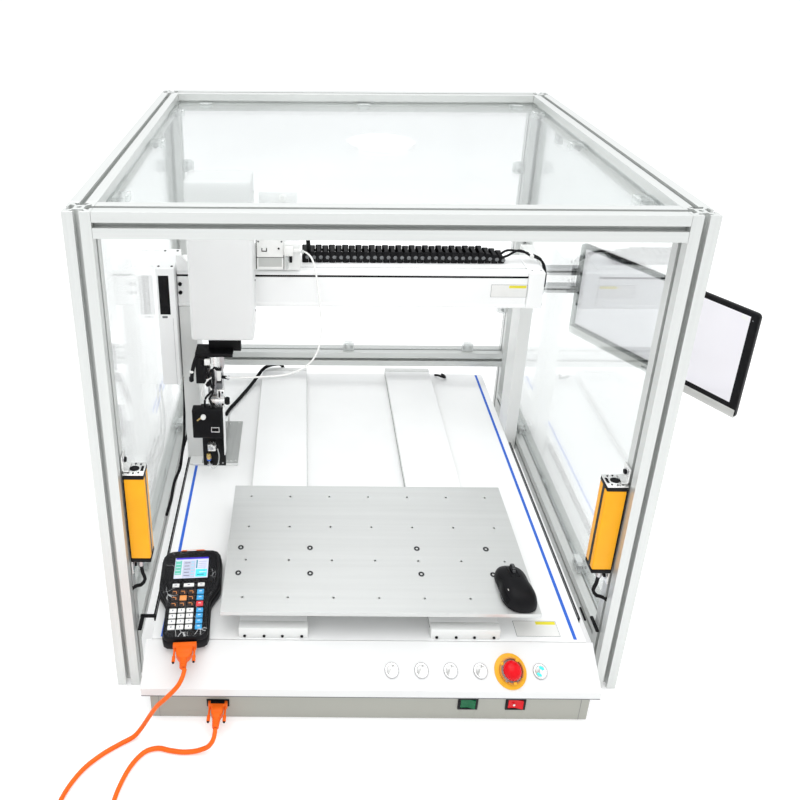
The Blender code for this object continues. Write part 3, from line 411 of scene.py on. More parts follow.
def smooth_route(points, spacing):
    """Points at an even spacing on a Catmull-Rom curve through the route's own points."""
    knots = [Vector(p) for p in points]
    ends = [2 * knots[0] - knots[1]] + knots + [2 * knots[-1] - knots[-2]]
    dense = []
    for i in range(1, len(ends) - 2):
        a, b, c, d = ends[i - 1:i + 3]
        for step in range(20):
            t = step / 20
            dense.append(0.5 * (2 * b + (c - a) * t + (2 * a - 5 * b + 4 * c - d) * t**2
                                + (3 * b - a - 3 * c + d) * t**3))
    dense.append(knots[-1])
    lengths = [0.0]
    for first, second in zip(dense, dense[1:]):
        lengths.append(lengths[-1] + (second - first).length)
    count = max(2, round(lengths[-1] / spacing))
    route = []
    for i in range(count + 1):
        target = lengths[-1] * i / count
        index = next(k for k in range(1, len(lengths)) if lengths[k] >= target - 1e-9)
        share = (target - lengths[index - 1]) / (lengths[index] - lengths[index - 1])
        route.append(dense[index - 1].lerp(dense[index], share))
    return route


def facing(direction, spin=0.0):
    """The rotation that turns +Z to a direction, after a spin about Z."""
    turn = Vector((0, 0, 1)).rotation_difference(Vector(direction).normalized())
    return turn.to_matrix().to_4x4() @ Matrix.Rotation(spin, 4, "Z")


def place(x, y, z, direction=None, spin=0.0):
    move = Matrix.Translation((x, y, z))
    return move if direction is None else move @ facing(direction, spin)


STANDING = Matrix.Rotation(math.pi / 2, 4, "X")


class Piece:
    """One mesh in the layout, made of several solids that each have a material."""

    def __init__(self, name):
        self.name = name
        self.shape = bmesh.new()
        self.materials = []

    def add(self, solid, material, matrix=None):
        if material not in self.materials:
            self.materials.append(material)
        if matrix is not None:
            bmesh.ops.transform(solid, matrix=matrix, verts=solid.verts)
        for face in solid.faces:
            face.material_index = self.materials.index(material)
        mesh = bpy.data.meshes.new("part")
        solid.to_mesh(mesh)
        solid.free()
        self.shape.from_mesh(mesh)
        bpy.data.meshes.remove(mesh)
        return self

    def box(self, low, high, material, bevel=0.0, segments=2, turn=None):
        """A box between two corners; turn is a rotation about its centre."""
        size = [high[i] - low[i] for i in range(3)]
        middle = Matrix.Translation([(high[i] + low[i]) / 2 for i in range(3)])
        return self.add(brick(size, bevel, segments), material, middle if turn is None else middle @ turn)

    def wire(self, points, radius, material, steps=8, spacing=None):
        return self.add(swept(smooth_route(points, spacing or 2.5 * radius), radius, steps), material)

    def screw(self, centre, direction, radius, material="black_metal", head=None):
        """A socket-head cap screw: a knurled-look head with a sunk hexagon."""
        head = head or radius * 0.9
        socket = radius * 0.52
        profile = [(0, head * 0.35), (socket, head * 0.35), (socket, head), (radius * 0.88, head),
                   (radius, head * 0.85), (radius, 0), (0, 0)]
        return self.add(lathe(profile, 12), material, place(*centre, direction))

    def done(self, body, replaces=(), angle=35, bend=None):
        """Make the object, smooth it up to an angle and let it ride on a CAD body; given bend, it is only
        baked in place and rides on none.
        """
        mesh = bpy.data.meshes.new(self.name)
        self.shape.to_mesh(mesh)
        self.shape.free()
        for name in self.materials:
            mesh.materials.append(MATERIALS[name])
        mesh.shade_smooth()
        mesh.set_sharp_from_angle(angle=math.radians(angle))
        thing = bpy.data.objects.new(self.name, mesh)
        bpy.context.scene.collection.objects.link(thing)
        thing.location = ORIGIN
        if bend:
            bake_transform(thing)
        else:
            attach(thing, body)
        if replaces:
            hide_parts(*replaces)
        return thing


# Finishes of the CAD nodes ---------------------------------------------------------------------

NODE_FINISHES = {
    "anodised_z": ["post_front_left", "post_front_right", "post_rear_left", "post_rear_right"],
    "anodised_x": ["rail_top_front", "rail_top_rear", "rail_lower_rear"],
    "anodised_y": ["rail_top_left", "rail_top_right", "rail_lower_left", "rail_lower_right"],
    "clear": ["panel_roof", "panel_left", "panel_right", "panel_rear"],
    "panel_paint": ["base_chassis", "control_panel", "z_cover"],
    "white_paint": ["base_cover", "x_drive_housing", "valve_block", "x_beam", "x_end_cap"],
    "white_aluminium": ["y_module_left", "y_module_right", "column_left", "column_right", "x_carriage"],
    "plate": ["jig_plate"],
    "steel": ["y_carriage_left", "y_carriage_right", "z_screw", "r_bracket", "soldering_iron",
              "monitor_bracket", "monitor_arm"],
    "black_metal": ["z_slide", "r_motor", "head_plate"],
    "black_plastic": ["cable_chain", "pendant_body", "monitor", "mouse_shell", "mouse_wheel"],
    "button_metal": ["button_home", "button_program", "button_pause", "button_reset"],
    "teal_glowing_painted_reflection": ["button_start"],
    "red_plastic": ["estop_mushroom", "rocker_light"],
    "green_plastic": ["rocker_power"],
    "yellow_paint": ["light_curtain_left", "light_curtain_right"],
    "orange_rubber": ["pendant_plug", "port_plug", "cord_port_side", "cord_pendant_side", "cord_coil"],
    "tube_plastic": ["feed_tube"],
}
EDGE_ROUNDING = {
    "anodised_x": 0.0008, "anodised_y": 0.0008, "anodised_z": 0.0008, "white_paint": 0.0006,
    "white_aluminium": 0.0006, "plate": 0.0005, "steel": 0.0004,
}


def soften_edges(thing, width):
    """Weld the node's split corners, merge its flat triangles and round its edges a little."""
    weld = thing.modifiers.new("weld", "WELD")
    weld.merge_threshold = 0.00001
    flatten = thing.modifiers.new("flatten", "DECIMATE")
    flatten.decimate_type = "DISSOLVE"
    flatten.angle_limit = math.radians(0.5)
    bevel = thing.modifiers.new("soft_edges", "BEVEL")
    bevel.width = width
    bevel.segments = 2
    bevel.limit_method = "ANGLE"
    bevel.angle_limit = math.radians(40)
    bevel.use_clamp_overlap = True
    bevel.harden_normals = True


for finish, names in NODE_FINISHES.items():
    for name in names:
        node = NODES[name]
        node.data.materials.clear()
        node.data.materials.append(MATERIALS[finish])
        if finish in EDGE_ROUNDING:
            soften_edges(node, EDGE_ROUNDING[finish])


# Enclosure details -----------------------------------------------------------------------------

def clip(piece, where, inward, along):
    """A clear moulded clip with two black screws; inward points from the profile over the sheet."""
    inward = Vector(inward)
    along = Vector(along)
    axes = Matrix((along, inward, along.cross(inward))).transposed().to_4x4()
    at = Matrix.Translation(where) @ axes
    piece.add(brick((0.030, 0.020, 0.009), 0.002), "clear_plastic", at)
    piece.add(brick((0.022, 0.006, 0.013), 0.0015), "clear_plastic", at @ place(0, 0.012, 0))
    for side in (-0.008, 0.008):
        piece.add(rod(0.0028, 0.012, 12, 0.0006), "black_metal", at @ place(side, -0.002, 0.002))
        piece.add(ring(0.0046, 0.0026, 0.0012, 16), "steel", at @ place(side, -0.002, 0.0052))


def make_clips():
    low, high = span("panel_roof")
    under = low.z - 0.005
    piece = Piece("roof_clips")
    for x in (-0.345, 0.018, 0.368):
        clip(piece, (x, low.y + 0.010, under), (0, 1, 0), (-1, 0, 0))
        clip(piece, (x, high.y - 0.010, under), (0, -1, 0), (1, 0, 0))
    for y in (0.125, 0.432, 0.680):
        clip(piece, (low.x + 0.010, y, under), (1, 0, 0), (0, 1, 0))
        clip(piece, (high.x - 0.010, y, under), (-1, 0, 0), (0, -1, 0))
    piece.done("root")
    piece = Piece("wall_clips")
    for sign in (-1, 1):
        panel_low, panel_high = span("panel_left" if sign < 0 else "panel_right")
        inner = min(abs(panel_low.x), abs(panel_high.x)) - 0.006
        for y in (0.170, 0.600):
            clip(piece, (sign * inner, y, panel_low.z + 0.010), (0, 0, 1), (0, sign, 0))
            clip(piece, (sign * inner, y, panel_high.z - 0.010), (0, 0, -1), (0, -sign, 0))
    rear_low, rear_high = span("panel_rear")
    front = rear_low.y - 0.006
    for x in (-0.300, 0.003, 0.318):
        clip(piece, (x, front, rear_low.z + 0.010), (0, 0, 1), (-1, 0, 0))
    for x in (rear_low.x + 0.010, rear_high.x - 0.010):
        side = 1 if x < 0 else -1
        for z in (0.360, 0.740):
            clip(piece, (x, front, z), (side, 0, 0), (0, 0, side))
    piece.done("root")


def curtain_sides(name):
    """Lowest and highest corners of a light curtain, its middle, which side it is on and its outer face."""
    low, high = span("light_curtain_" + name)
    sign = 1 if name == "right" else -1
    return low, high, (low + high) / 2, sign, high.x if sign > 0 else low.x


def make_curtain_housing(name):
    low, high, middle, sign, outer = curtain_sides(name)
    inner = low.x if sign > 0 else high.x
    piece = Piece("light_curtain_" + name + "_housing")
    piece.box((low.x, low.y, low.z + 0.008), (high.x, high.y, high.z - 0.010), "yellow_paint", 0.0022, 3)
    face = sorted((inner - sign * 0.0004, inner + sign * 0.002))
    piece.box((face[0], low.y + 0.0095, low.z + 0.004), (face[1], high.y - 0.0125, high.z - 0.006),
              "black_gloss", 0.0005, 1)
    edge = sorted((outer - sign * 0.0022, outer + sign * 0.0003))
    piece.box((edge[0], low.y - 0.0003, low.z + 0.004), (edge[1], low.y + 0.0100, high.z - 0.006),
              "black_plastic", 0.0005, 1)
    piece.box((low.x - 0.0002, low.y - 0.0002, low.z), (high.x + 0.0002, high.y, low.z + 0.0085),
              "black_plastic", 0.0015, 2)
    piece.box((low.x - 0.0002, low.y - 0.0002, high.z - 0.0105), (high.x + 0.0002, high.y, high.z - 0.002),
              "black_plastic", 0.0015, 2)
    piece.box((low.x, low.y, high.z - 0.0025), (high.x, high.y, high.z), "bright_steel", 0.0008, 2)
    oval = place(middle.x, middle.y, high.z) @ Matrix.Diagonal((1.0, 0.80, 1.0, 1.0))
    piece.add(rod(0.0080, 0.0012, 32, 0.0003), "black_plastic", oval)
    for bar in (-0.0128, 0.0128):
        piece.box((middle.x + bar - 0.0022, middle.y - 0.006, high.z - 0.0004),
                  (middle.x + bar + 0.0022, middle.y + 0.006, high.z + 0.0006), "black_plastic", 0.0004, 1)
    for x, y in ((-0.0085, -0.0105), (0.0085, -0.0105), (-0.0085, 0.0105), (0.0085, 0.0105), (0, 0.0115),
                 (0, -0.0115)):
        piece.add(rod(0.0018, 0.0012, 10, 0.0003), "black_metal", place(middle.x + x, middle.y + y, high.z))
    piece.done("root", replaces=["light_curtain_" + name])


def make_curtain_lead(name):
    low, high, middle, sign, outer = curtain_sides(name)
    gland_x = middle.x + sign * 0.004
    fitting = Piece("light_curtain_" + name + "_lead")
    fitting.add(rod(0.0072, 0.006, 6, 0.0006), "brass", place(gland_x, middle.y, low.z - 0.003))
    fitting.add(rod(0.0056, 0.016, 20, 0.0008), "steel", place(gland_x, middle.y, low.z - 0.012))
    fitting.add(rod(0.0048, 0.007, 20, 0.001, foot=0.0036), "black_rubber",
                place(gland_x, middle.y, low.z - 0.022))
    fitting.wire([
        (gland_x, middle.y, low.z - 0.024),
        (gland_x - sign * 0.001, middle.y, low.z - 0.038),
        (gland_x - sign * 0.004, middle.y, low.z - 0.054),
        (gland_x + sign * 0.004, middle.y - 0.001, low.z - 0.066),
        (outer + sign * 0.001, middle.y - 0.004, low.z - 0.066),
        (outer + sign * 0.009, middle.y - 0.020, low.z - 0.064),
    ], 0.0031, "black_rubber", 10)
    fitting.done("root")


def make_curtain_brackets(name):
    low, high, middle, sign, outer = curtain_sides(name)
    holder = Piece("light_curtain_" + name + "_brackets")
    for z, drop in ((high.z, -1), (low.z, 1)):
        edge = sorted((outer - sign * 0.010, outer + sign * 0.0013))
        holder.box((edge[0], middle.y - 0.011, z - 0.0015 - drop * 0.0026),
                   (edge[1], middle.y + 0.011, z + 0.0015 - drop * 0.0026), "bright_steel", 0.0005, 1)
        wall = sorted((outer - sign * 0.0016, outer + sign * 0.0013))
        span_z = sorted((z - drop * 0.0012, z - drop * 0.030))
        holder.box((wall[0], middle.y - 0.011, span_z[0]), (wall[1], middle.y + 0.011, span_z[1]),
                   "bright_steel", 0.0005, 1)
        holder.screw((outer - sign * 0.0016, middle.y, z - drop * 0.018), (-sign, 0, 0), 0.0042,
                     "black_metal")
        holder.add(ring(0.0062, 0.0040, 0.001, 24), "steel",
                   place(outer - sign * 0.0018, middle.y, z - drop * 0.018, (-sign, 0, 0)))
    holder.done("root")


# Base details ----------------------------------------------------------------------------------

STRIPE_X = 0.362
STRIPE_WIDTH = 0.006


def make_base_trim():
    low, high = span("base_cover")
    top = high.z
    piece = Piece("blue_stripes")
    for sign in (-1, 1):
        x = sign * STRIPE_X
        piece.box((x - STRIPE_WIDTH / 2, low.y + 0.004, top - 0.0002),
                  (x + STRIPE_WIDTH / 2, high.y - 0.006, top + 0.0003), "blue_tape", 0.0001, 1)
    piece.done("root")

    seal = Piece("edge_seals")
    edge = high.x
    for sign, rear in ((-1, 0.560), (1, 0.545)):
        inner, outer = sorted((sign * (edge + 0.0010), sign * (edge + 0.0062)))
        seal.box((inner, 0.046, top - 0.016), (outer, rear, top - 0.001), "black_rubber", 0.0012, 2)
        rim, lip = sorted((sign * (edge + 0.0010), sign * (edge + 0.0026)))
        seal.box((rim, 0.046, top - 0.0012), (lip, rear, top + 0.0012), "grey_plastic", 0.0005, 1)
    seal.box((-0.4095, 0.0415, top - 0.003), (-edge - 0.001, 0.0475, top + 0.001), "black_rubber", 0.0008, 1)
    seal.box((-0.4085, 0.0150, top - 0.003), (-0.4015, 0.0450, top + 0.001), "black_rubber", 0.0008, 1)
    seal.box((0.4035, 0.0170, top - 0.001), (0.4090, 0.0480, top + 0.004), "black_rubber", 0.0010, 1)
    seal.box((0.3910, 0.0400, top - 0.001), (0.3945, 0.0680, top + 0.003), "black_rubber", 0.0010, 1)
    seal.done("root")

    blank = Piece("blank_labels")
    blank.box((0.2610, 0.0070, top - 0.0001), (0.3380, 0.0390, top + 0.0002), "grey_plastic", 0, 1)
    blank.box((0.2616, 0.0076, top - 0.0001), (0.3374, 0.0384, top + 0.0004), "label_white", 0.0001, 1)
    blank.box((0.3010, 0.0310, top - 0.0001), (0.3360, 0.0372, top + 0.0007), "label_yellow", 0.0001, 1)
    front = span("x_beam")[0].y
    blank.box((0.2802, front - 0.0003, 0.5452), (0.3568, front + 0.0001, 0.5748), "grey_plastic", 0, 1)
    blank.box((0.2808, front - 0.0005, 0.5458), (0.3562, front + 0.0001, 0.5742), "label_white", 0.0001, 1)
    blank.box((0.3180, front - 0.0008, 0.5668), (0.3545, front + 0.0001, 0.5728), "label_yellow", 0.0001, 1)
    blank.done("root")

    foot = Piece("base_feet_pads")
    for x in (-0.320, 0.320):
        for y in (0.010, 0.770):
            foot.add(lathe([(0, 0.0198), (0.019, 0.0198), (0.0226, 0.017), (0.0228, 0.004),
                            (0.0215, 0.0003), (0, 0.0003)]),
                     "black_rubber", place(x, y, 0))
    foot.done("root")


def make_y_modules():
    for name in ("left", "right"):
        low, high = span("y_module_" + name)
        carriage_low, carriage_high = span("y_carriage_" + name)
        piece = Piece("y_axis_" + name)
        inset = 0.0004
        block = 0.016
        piece.box((low.x + inset, low.y + block / 2, low.z),
                  (high.x - inset, high.y - block / 2, high.z - 0.0022), "white_aluminium", 0.0012, 2)
        piece.box((low.x + 0.0010, low.y + block + 0.0004, high.z - 0.0030),
                  (high.x - 0.0010, high.y - block - 0.0004, high.z - 0.0006), "white_paint", 0.0006, 2)
        for y in (low.y, high.y - block):
            piece.box((low.x, y, low.z), (high.x, y + block, high.z), "white_aluminium", 0.0012, 2)
        for side in (-1, 1):
            middle = (low.x + high.x) / 2
            x = middle + side * ((high.x - low.x) / 2 - inset)
            piece.box((x - 0.0006, low.y + block, low.z + 0.0085),
                      (x + 0.0006, high.y - block, low.z + 0.0105), "grey_plastic", 0.0002, 1)
            for offset in (0.016, 0.050):
                for y, outward in ((low.y, -1), (high.y, 1)):
                    piece.screw((middle + side * offset, y, low.z + 0.0050), (0, outward, 0), 0.0026,
                                "black_metal", 0.0016)
        piece.done("root", replaces=["y_module_" + name])
        block_piece = Piece("y_carriage_trim_" + name)
        for y in (carriage_low.y, carriage_high.y):
            side = -1 if y == carriage_low.y else 1
            block_piece.box((carriage_low.x + 0.004, min(y, y + side * 0.003), carriage_low.z + 0.003),
                            (carriage_high.x - 0.004, max(y, y + side * 0.003), carriage_high.z - 0.004),
                            "white_aluminium", 0.0006, 1)
            for x in (carriage_low.x + 0.014, carriage_high.x - 0.014):
                block_piece.screw((x, y + side * 0.003, carriage_low.z + 0.014), (0, side, 0), 0.003)
        block_piece.done("y_table")


def make_plate_screws():
    high = span("jig_plate")[1]
    piece = Piece("jig_plate_screws")
    for x in (-0.2343, -0.1028, 0.1004, 0.2316):
        for y in (0.1460, 0.0855):
            piece.add(ring(0.0058, 0.0044, 0.0005, 24), "grey_plastic", place(x, y, high.z + 0.0001))
            piece.add(lathe([(0, -0.0004), (0.0024, -0.0004), (0.0024, 0.0003), (0.0046, 0.0003),
                             (0.0048, -0.001), (0, -0.001)], 24), "black_metal", place(x, y, high.z + 0.0002))
    piece.done("y_table")


def make_foot_plate():
    sheet = Piece("column_foot_sheet")
    sheet.box((-0.3500, 0.4522, 0.1249), (-0.2672, 0.6108, 0.1256), "sheet_metal", 0.0002, 1)
    sheet.box((-0.3020, 0.4700, 0.1254), (-0.3006, 0.6100, 0.1460), "sheet_metal", 0.0003, 1)
    sheet.box((-0.3700, 0.4500, 0.1203), (-0.2660, 0.4526, 0.1257), "white_paint", 0.0004, 1)
    for x, y in ((-0.2985, 0.5988), (-0.2760, 0.6030), (-0.2740, 0.4620), (-0.2830, 0.4600),
                 (-0.2920, 0.4600)):
        sheet.screw((x, y, 0.1255), (0, 0, 1), 0.0020, "bright_steel", 0.0008)
    for x, y in ((-0.3640, 0.4990), (-0.3560, 0.4990)):
        sheet.screw((x, y, 0.1250), (0, 0, 1), 0.0030, "black_metal", 0.0020)
    sheet.done("root")
    cover = Piece("beam_column_gusset")
    shape = prism([(0, 0), (0.030, 0), (0.030, 0.010), (0.010, 0.036), (0, 0.036)], 0.006, 0.0008, 1)
    turn = Matrix(((1, 0, 0, -0.3850), (0, 0, -1, 0.4790), (0, 1, 0, 0.6040), (0, 0, 0, 1)))
    cover.add(shape, "white_paint", turn)
    for z in (0.572, 0.552):
        cover.screw((-0.3800, 0.4795, z), (0, -1, 0), 0.0042, "black_metal", 0.0032)
    cover.done("root")


# Controls --------------------------------------------------------------------------------------

SLOPE_LOW = Vector((0, -0.066, 0.079))
SLOPE_TOP = Vector((0, -0.004, 0.120))
SLOPE_ALONG = (SLOPE_TOP - SLOPE_LOW).normalized()
SLOPE_OUT = Vector((0, -SLOPE_ALONG.z, SLOPE_ALONG.y))
SLOPE_CENTRE = SLOPE_TOP - SLOPE_ALONG * 0.0445
PUSH_BUTTONS = ("button_home", "button_program", "button_pause", "button_reset", "button_start")


def on_slope(x, height=0.0):
    """The frame of a control at a place along the slope, with Z out of it."""
    axes = Matrix((Vector((1, 0, 0)), SLOPE_ALONG, SLOPE_OUT)).transposed().to_4x4()
    return Matrix.Translation(Vector((x, 0, 0)) + SLOPE_CENTRE + SLOPE_OUT * height) @ axes


def make_buttons():
    bezels = Piece("button_bezels")
    for name in PUSH_BUTTONS:
        low, high = span(name)
        x = (low.x + high.x) / 2
        bezels.add(lathe([(0.0087, -0.004), (0.0087, 0.0021), (0.0100, 0.0023), (0.0112, 0.0019),
                          (0.0112, -0.001), (0.0087, -0.004)], 48), "bright_steel", on_slope(x))
        # dark outer ring: the bezel's own thin dark rim, widened with painted shadow round it
        bezels.add(lathe([(0.0110, 0.0018), (0.0119, 0.0019), (0.0122, 0.0012), (0.0122, -0.001),
                          (0.0110, -0.001), (0.0110, 0.0018)], 48), "dark_rim_and_painted_shadow", on_slope(x))
        cap = Piece(name + "_cap")
        cap.add(lathe([(0, 0.0030), (0.0060, 0.0031), (0.0080, 0.0034), (0.0085, 0.0028), (0.0085, -0.0090),
                       (0, -0.0090)], 48), "button_face_painted_sheen", on_slope(x))
        if name == "button_start":
            # teal arcs in two opposite fans: painted reflection that glows
            for start in (20, 200):
                cap.add(prism(arc_outline(0.0034, 0.0078, start, start + 85, 10), 0.0010, 0.0002, 1),
                        "teal_glowing_painted_reflection",
                        on_slope(x, 0.0031))
        cap.done(name, replaces=[name])
    bezels.done("root")


def arc_outline(inner, outer, start, stop, steps=12):
    angles = [math.radians(start + (stop - start) * i / steps) for i in range(steps + 1)]
    out = [(outer * math.cos(a), outer * math.sin(a)) for a in angles]
    back = [(inner * math.cos(a), inner * math.sin(a)) for a in reversed(angles)]
    return out + back


def make_stop_button():
    low, high = span("estop_mushroom")
    x = (low.x + high.x) / 2
    base = Piece("estop_guard")
    base.add(lathe([(0.0192, 0.0052), (0.0212, 0.0050), (0.0250, 0.0036), (0.0269, 0.0026), (0.0274, 0.0012),
                    (0.0274, -0.0006), (0.0192, -0.0006), (0.0192, 0.0052)], 64), "yellow_disc", on_slope(x))
    for start in (-32, 62, 152, 242):
        base.add(prism(arc_outline(0.0180, 0.0202, start, start + 76), 0.0100, 0.0008, 2), "guard_orange",
                 on_slope(x, 0.0088))
    for start in (48, 138, 270):
        base.add(prism(arc_outline(0.0164, 0.0206, start, start + 16, 4), 0.0050, 0.0008, 2), "yellow_disc",
                 on_slope(x, 0.0120))
    base.add(lathe([(0.0092, 0.0030), (0.0188, 0.0030), (0.0201, 0.0028), (0.0201, 0.0010), (0.0092, 0.0010),
                    (0.0092, 0.0030)], 48), "guard_orange", on_slope(x))
    base.done("root")
    cap = Piece("estop_cap")
    cap.add(lathe([(0, 0.0262), (0.0050, 0.0260), (0.0095, 0.0248), (0.0130, 0.0222), (0.0149, 0.0185),
                   (0.0152, 0.0150), (0.0143, 0.0122), (0.0125, 0.0106), (0.0080, 0.0103), (0.0080, -0.0100),
                   (0, -0.0100)], 64), "red_plastic", on_slope(x))
    for k in range(20):
        angle = math.tau * k / 20
        spot = on_slope(x, 0.0160) @ Matrix.Rotation(angle, 4, "Z") @ place(0.0149, 0, 0)
        cap.add(brick((0.0010, 0.0020, 0.0050), 0.0004, 1), "red_plastic", spot)
    cap.done("estop", replaces=["estop_mushroom"])


def window_frame(outer_w, outer_h, inner_w, inner_h, depth, bevel):
    """A flat frame round a window, in XY, thick along Z."""
    shape = bmesh.new()
    loops = []
    for z in (-depth / 2, depth / 2):
        for w, h in ((outer_w, outer_h), (inner_w, inner_h)):
            corners = ((w, h), (-w, h), (-w, -h), (w, -h))
            loops.append([shape.verts.new((x / 2, y / 2, z)) for x, y in corners])
    for i in range(4):
        j = (i + 1) % 4
        shape.faces.new((loops[2][i], loops[2][j], loops[3][j], loops[3][i]))
        shape.faces.new((loops[0][j], loops[0][i], loops[1][i], loops[1][j]))
        shape.faces.new((loops[0][i], loops[0][j], loops[2][j], loops[2][i]))
        shape.faces.new((loops[1][j], loops[1][i], loops[3][i], loops[3][j]))
    bmesh.ops.recalc_face_normals(shape, faces=shape.faces)
    if bevel:
        rims = [e for e in shape.edges if e.calc_face_angle(0) > 1.0]
        bmesh.ops.bevel(shape, geom=rims, offset=bevel, segments=2, affect="EDGES", profile=0.5)
    return shape


def make_front_strip():
    chassis_low, chassis_high = span("base_chassis")
    panel_low, panel_high = span("control_panel")
    front = chassis_low.y
    strip = Piece("front_strip")
    rockers = [span(name) for name in ("rocker_power", "rocker_light")]
    windows = sorted((low.x - 0.0012, high.x + 0.0012) for low, high in rockers)
    edges = [chassis_low.x + 0.0005] + [x for pair in windows for x in pair] + [chassis_high.x - 0.0005]
    foot, head = chassis_low.z + 0.0008, panel_low.z - 0.0008
    # the strip's dark colour is painted shade of the vertical chassis front
    for left, right in zip(edges[::2], edges[1::2]):
        strip.box((left, front - 0.0008, foot), (right, front + 0.0006, head), "front_strip_painted_shade", 0.0002, 1)
    power_low = span("rocker_power")[0]
    for left, right in windows:
        strip.box((left, front - 0.0008, foot), (right, front + 0.0006, power_low.z - 0.0012),
                  "front_strip_painted_shade", 0.0002, 1)
    strip.box((panel_low.x, panel_low.y - 0.0006, panel_low.z - 0.0002),
              (panel_high.x, panel_low.y + 0.0010, panel_low.z + 0.0012), "grey_plastic", 0.0003, 1)
    for sign in (-1, 1):
        strip.box((sign * 0.3630 - 0.0003, front - 0.0012, foot),
                  (sign * 0.3630 + 0.0003, front - 0.0006, head), "grey_plastic", 0.0001, 1)
    strip.done("root")
    frames = Piece("rocker_bezels")
    for name in ("rocker_power", "rocker_light"):
        low, high = span(name)
        frames.add(window_frame(0.0345, 0.0272, 0.0262, 0.0208, 0.0024, 0.0005), "black_plastic",
                   place((low.x + high.x) / 2, front - 0.0016, (low.z + high.z) / 2) @ STANDING)
    frames.done("root")
    low, high = span("rocker_light")
    lens = Piece("rocker_light_mark")
    lens.add(rod(0.0022, 0.0008, 20, 0.0003), "white_plastic",
             place((low.x + high.x) / 2 - 0.0030, low.y + 0.0006, (low.z + high.z) / 2, (0.12, -1, 0)))
    lens.done("rocker_light")
    port_low, port_high = span("port_plug")
    socket = Piece("controller_port")
    x = (port_low.x + port_high.x) / 2
    z = (port_low.z + port_high.z) / 2
    socket.box((x - 0.0195, front - 0.0018, z - 0.0075), (x + 0.0195, front - 0.0006, z + 0.0095),
               "black_plastic", 0.0005, 2)
    socket.box((x - 0.0120, front - 0.0070, z + 0.0020), (x + 0.0120, front - 0.0014, z + 0.0088),
               "black_gloss", 0.0010, 2)
    socket.done("root")


# Hand controller -------------------------------------------------------------------------------

PENDANT_TURN = math.radians(3.7)
PENDANT_HALF = 0.0985


def connector_hood(name, node, matrix, width):
    """A moulded connector hood with strain relief and two thumb screws, along -Y from its face."""
    piece = Piece(name)
    half = width / 2
    sides = [(half, -0.0004), (half, -0.0060), (half - 0.0015, -0.0080), (half - 0.0062, -0.0100),
             (half - 0.0066, -0.0210), (half - 0.0100, -0.0265), (0.0062, -0.0300)]
    outline = [(-x, y) for x, y in sides] + sides[::-1]
    piece.add(prism(outline, 0.0140, 0.0018, 3), "orange_rubber", matrix)
    piece.add(brick((width - 0.0150, 0.0120, 0.0152), 0.0012), "orange_rubber",
              matrix @ place(0, -0.0150, 0))
    piece.add(brick((width - 0.0060, 0.0030, 0.0120), 0.0010), "black_plastic",
              matrix @ place(0, -0.0016, 0))
    profile = [(0, 0.0448), (0.0046, 0.0448)]
    for k in range(5):
        y = 0.0436 - 0.0032 * k
        profile += [(0.0048 + 0.0004 * k, y), (0.0057 + 0.0003 * k, y - 0.0004),
                    (0.0057 + 0.0003 * k, y - 0.0020), (0.0048 + 0.0004 * k, y - 0.0024)]
    profile += [(0.0062, 0.0270), (0, 0.0270)]
    piece.add(lathe(profile, 28), "orange_rubber", matrix @ STANDING)
    for side in (-1, 1):
        shaft = (matrix @ place(side * (half - 0.0030), -0.0170, 0)
                 @ STANDING)
        piece.add(rod(0.0018, 0.0260, 16, 0.0004), "orange_rubber", shaft)
        piece.add(rod(0.0029, 0.0110, 20, 0.0008), "orange_rubber", shaft @ place(0, 0, 0.0110))
        piece.add(rod(0.0020, 0.0020, 20, 0.0004), "black_plastic", shaft @ place(0, 0, 0.0172))
    return piece.done("root", replaces=[node])


def pendant_side(inset):
    head = 0.0575 - inset
    grip = 0.0405 - inset
    half = PENDANT_HALF - inset
    return [
        (grip - 0.018, -half), (grip - 0.009, -half + 0.001), (grip - 0.003, -half + 0.005),
        (grip, -half + 0.014), (grip, -0.026), (grip + 0.0015, -0.018), (grip + 0.0065, -0.008),
        (head - 0.0045, 0.002), (head - 0.0010, 0.010), (head, 0.020), (head, half - 0.026),
        (head - 0.002, half - 0.014), (head - 0.008, half - 0.005), (head - 0.018, half - 0.001),
        (head - 0.034, half),
    ]


def pendant_outline(inset=0.0):
    right = pendant_side(inset)
    return right + [(-x, y) for x, y in reversed(right)]


def make_pendant_case(frame_at, top):
    body = Piece("pendant_case")
    body.add(prism(pendant_outline(), 0.0190, 0.0055, 4), "black_plastic",
             frame_at @ place(0, 0, -0.0050))
    body.add(prism(pendant_outline(0.0012), 0.0130, 0.0050, 4), "black_plastic",
             frame_at @ place(0, 0, 0.0078))
    body.add(prism(pendant_outline(0.0080), 0.0012, 0.0004, 1), "black_gloss",
             frame_at @ place(0, 0, top - 0.0008))
    strap = [(-0.0250, 0.0960), (-0.0240, 0.1010), (-0.0200, 0.1030), (0.0200, 0.1030), (0.0240, 0.1010),
             (0.0250, 0.0960)]
    body.add(prism(strap[::-1], 0.0100, 0.0015, 2), "orange_rubber", frame_at @ place(0, 0, 0.0040))
    body.add(brick((0.0180, 0.0014, 0.0016), 0.0005, 1), "white_plastic",
             frame_at @ place(-0.002, PENDANT_HALF - 0.0040, top - 0.0002))
    body.done("root", replaces=["pendant_body"])


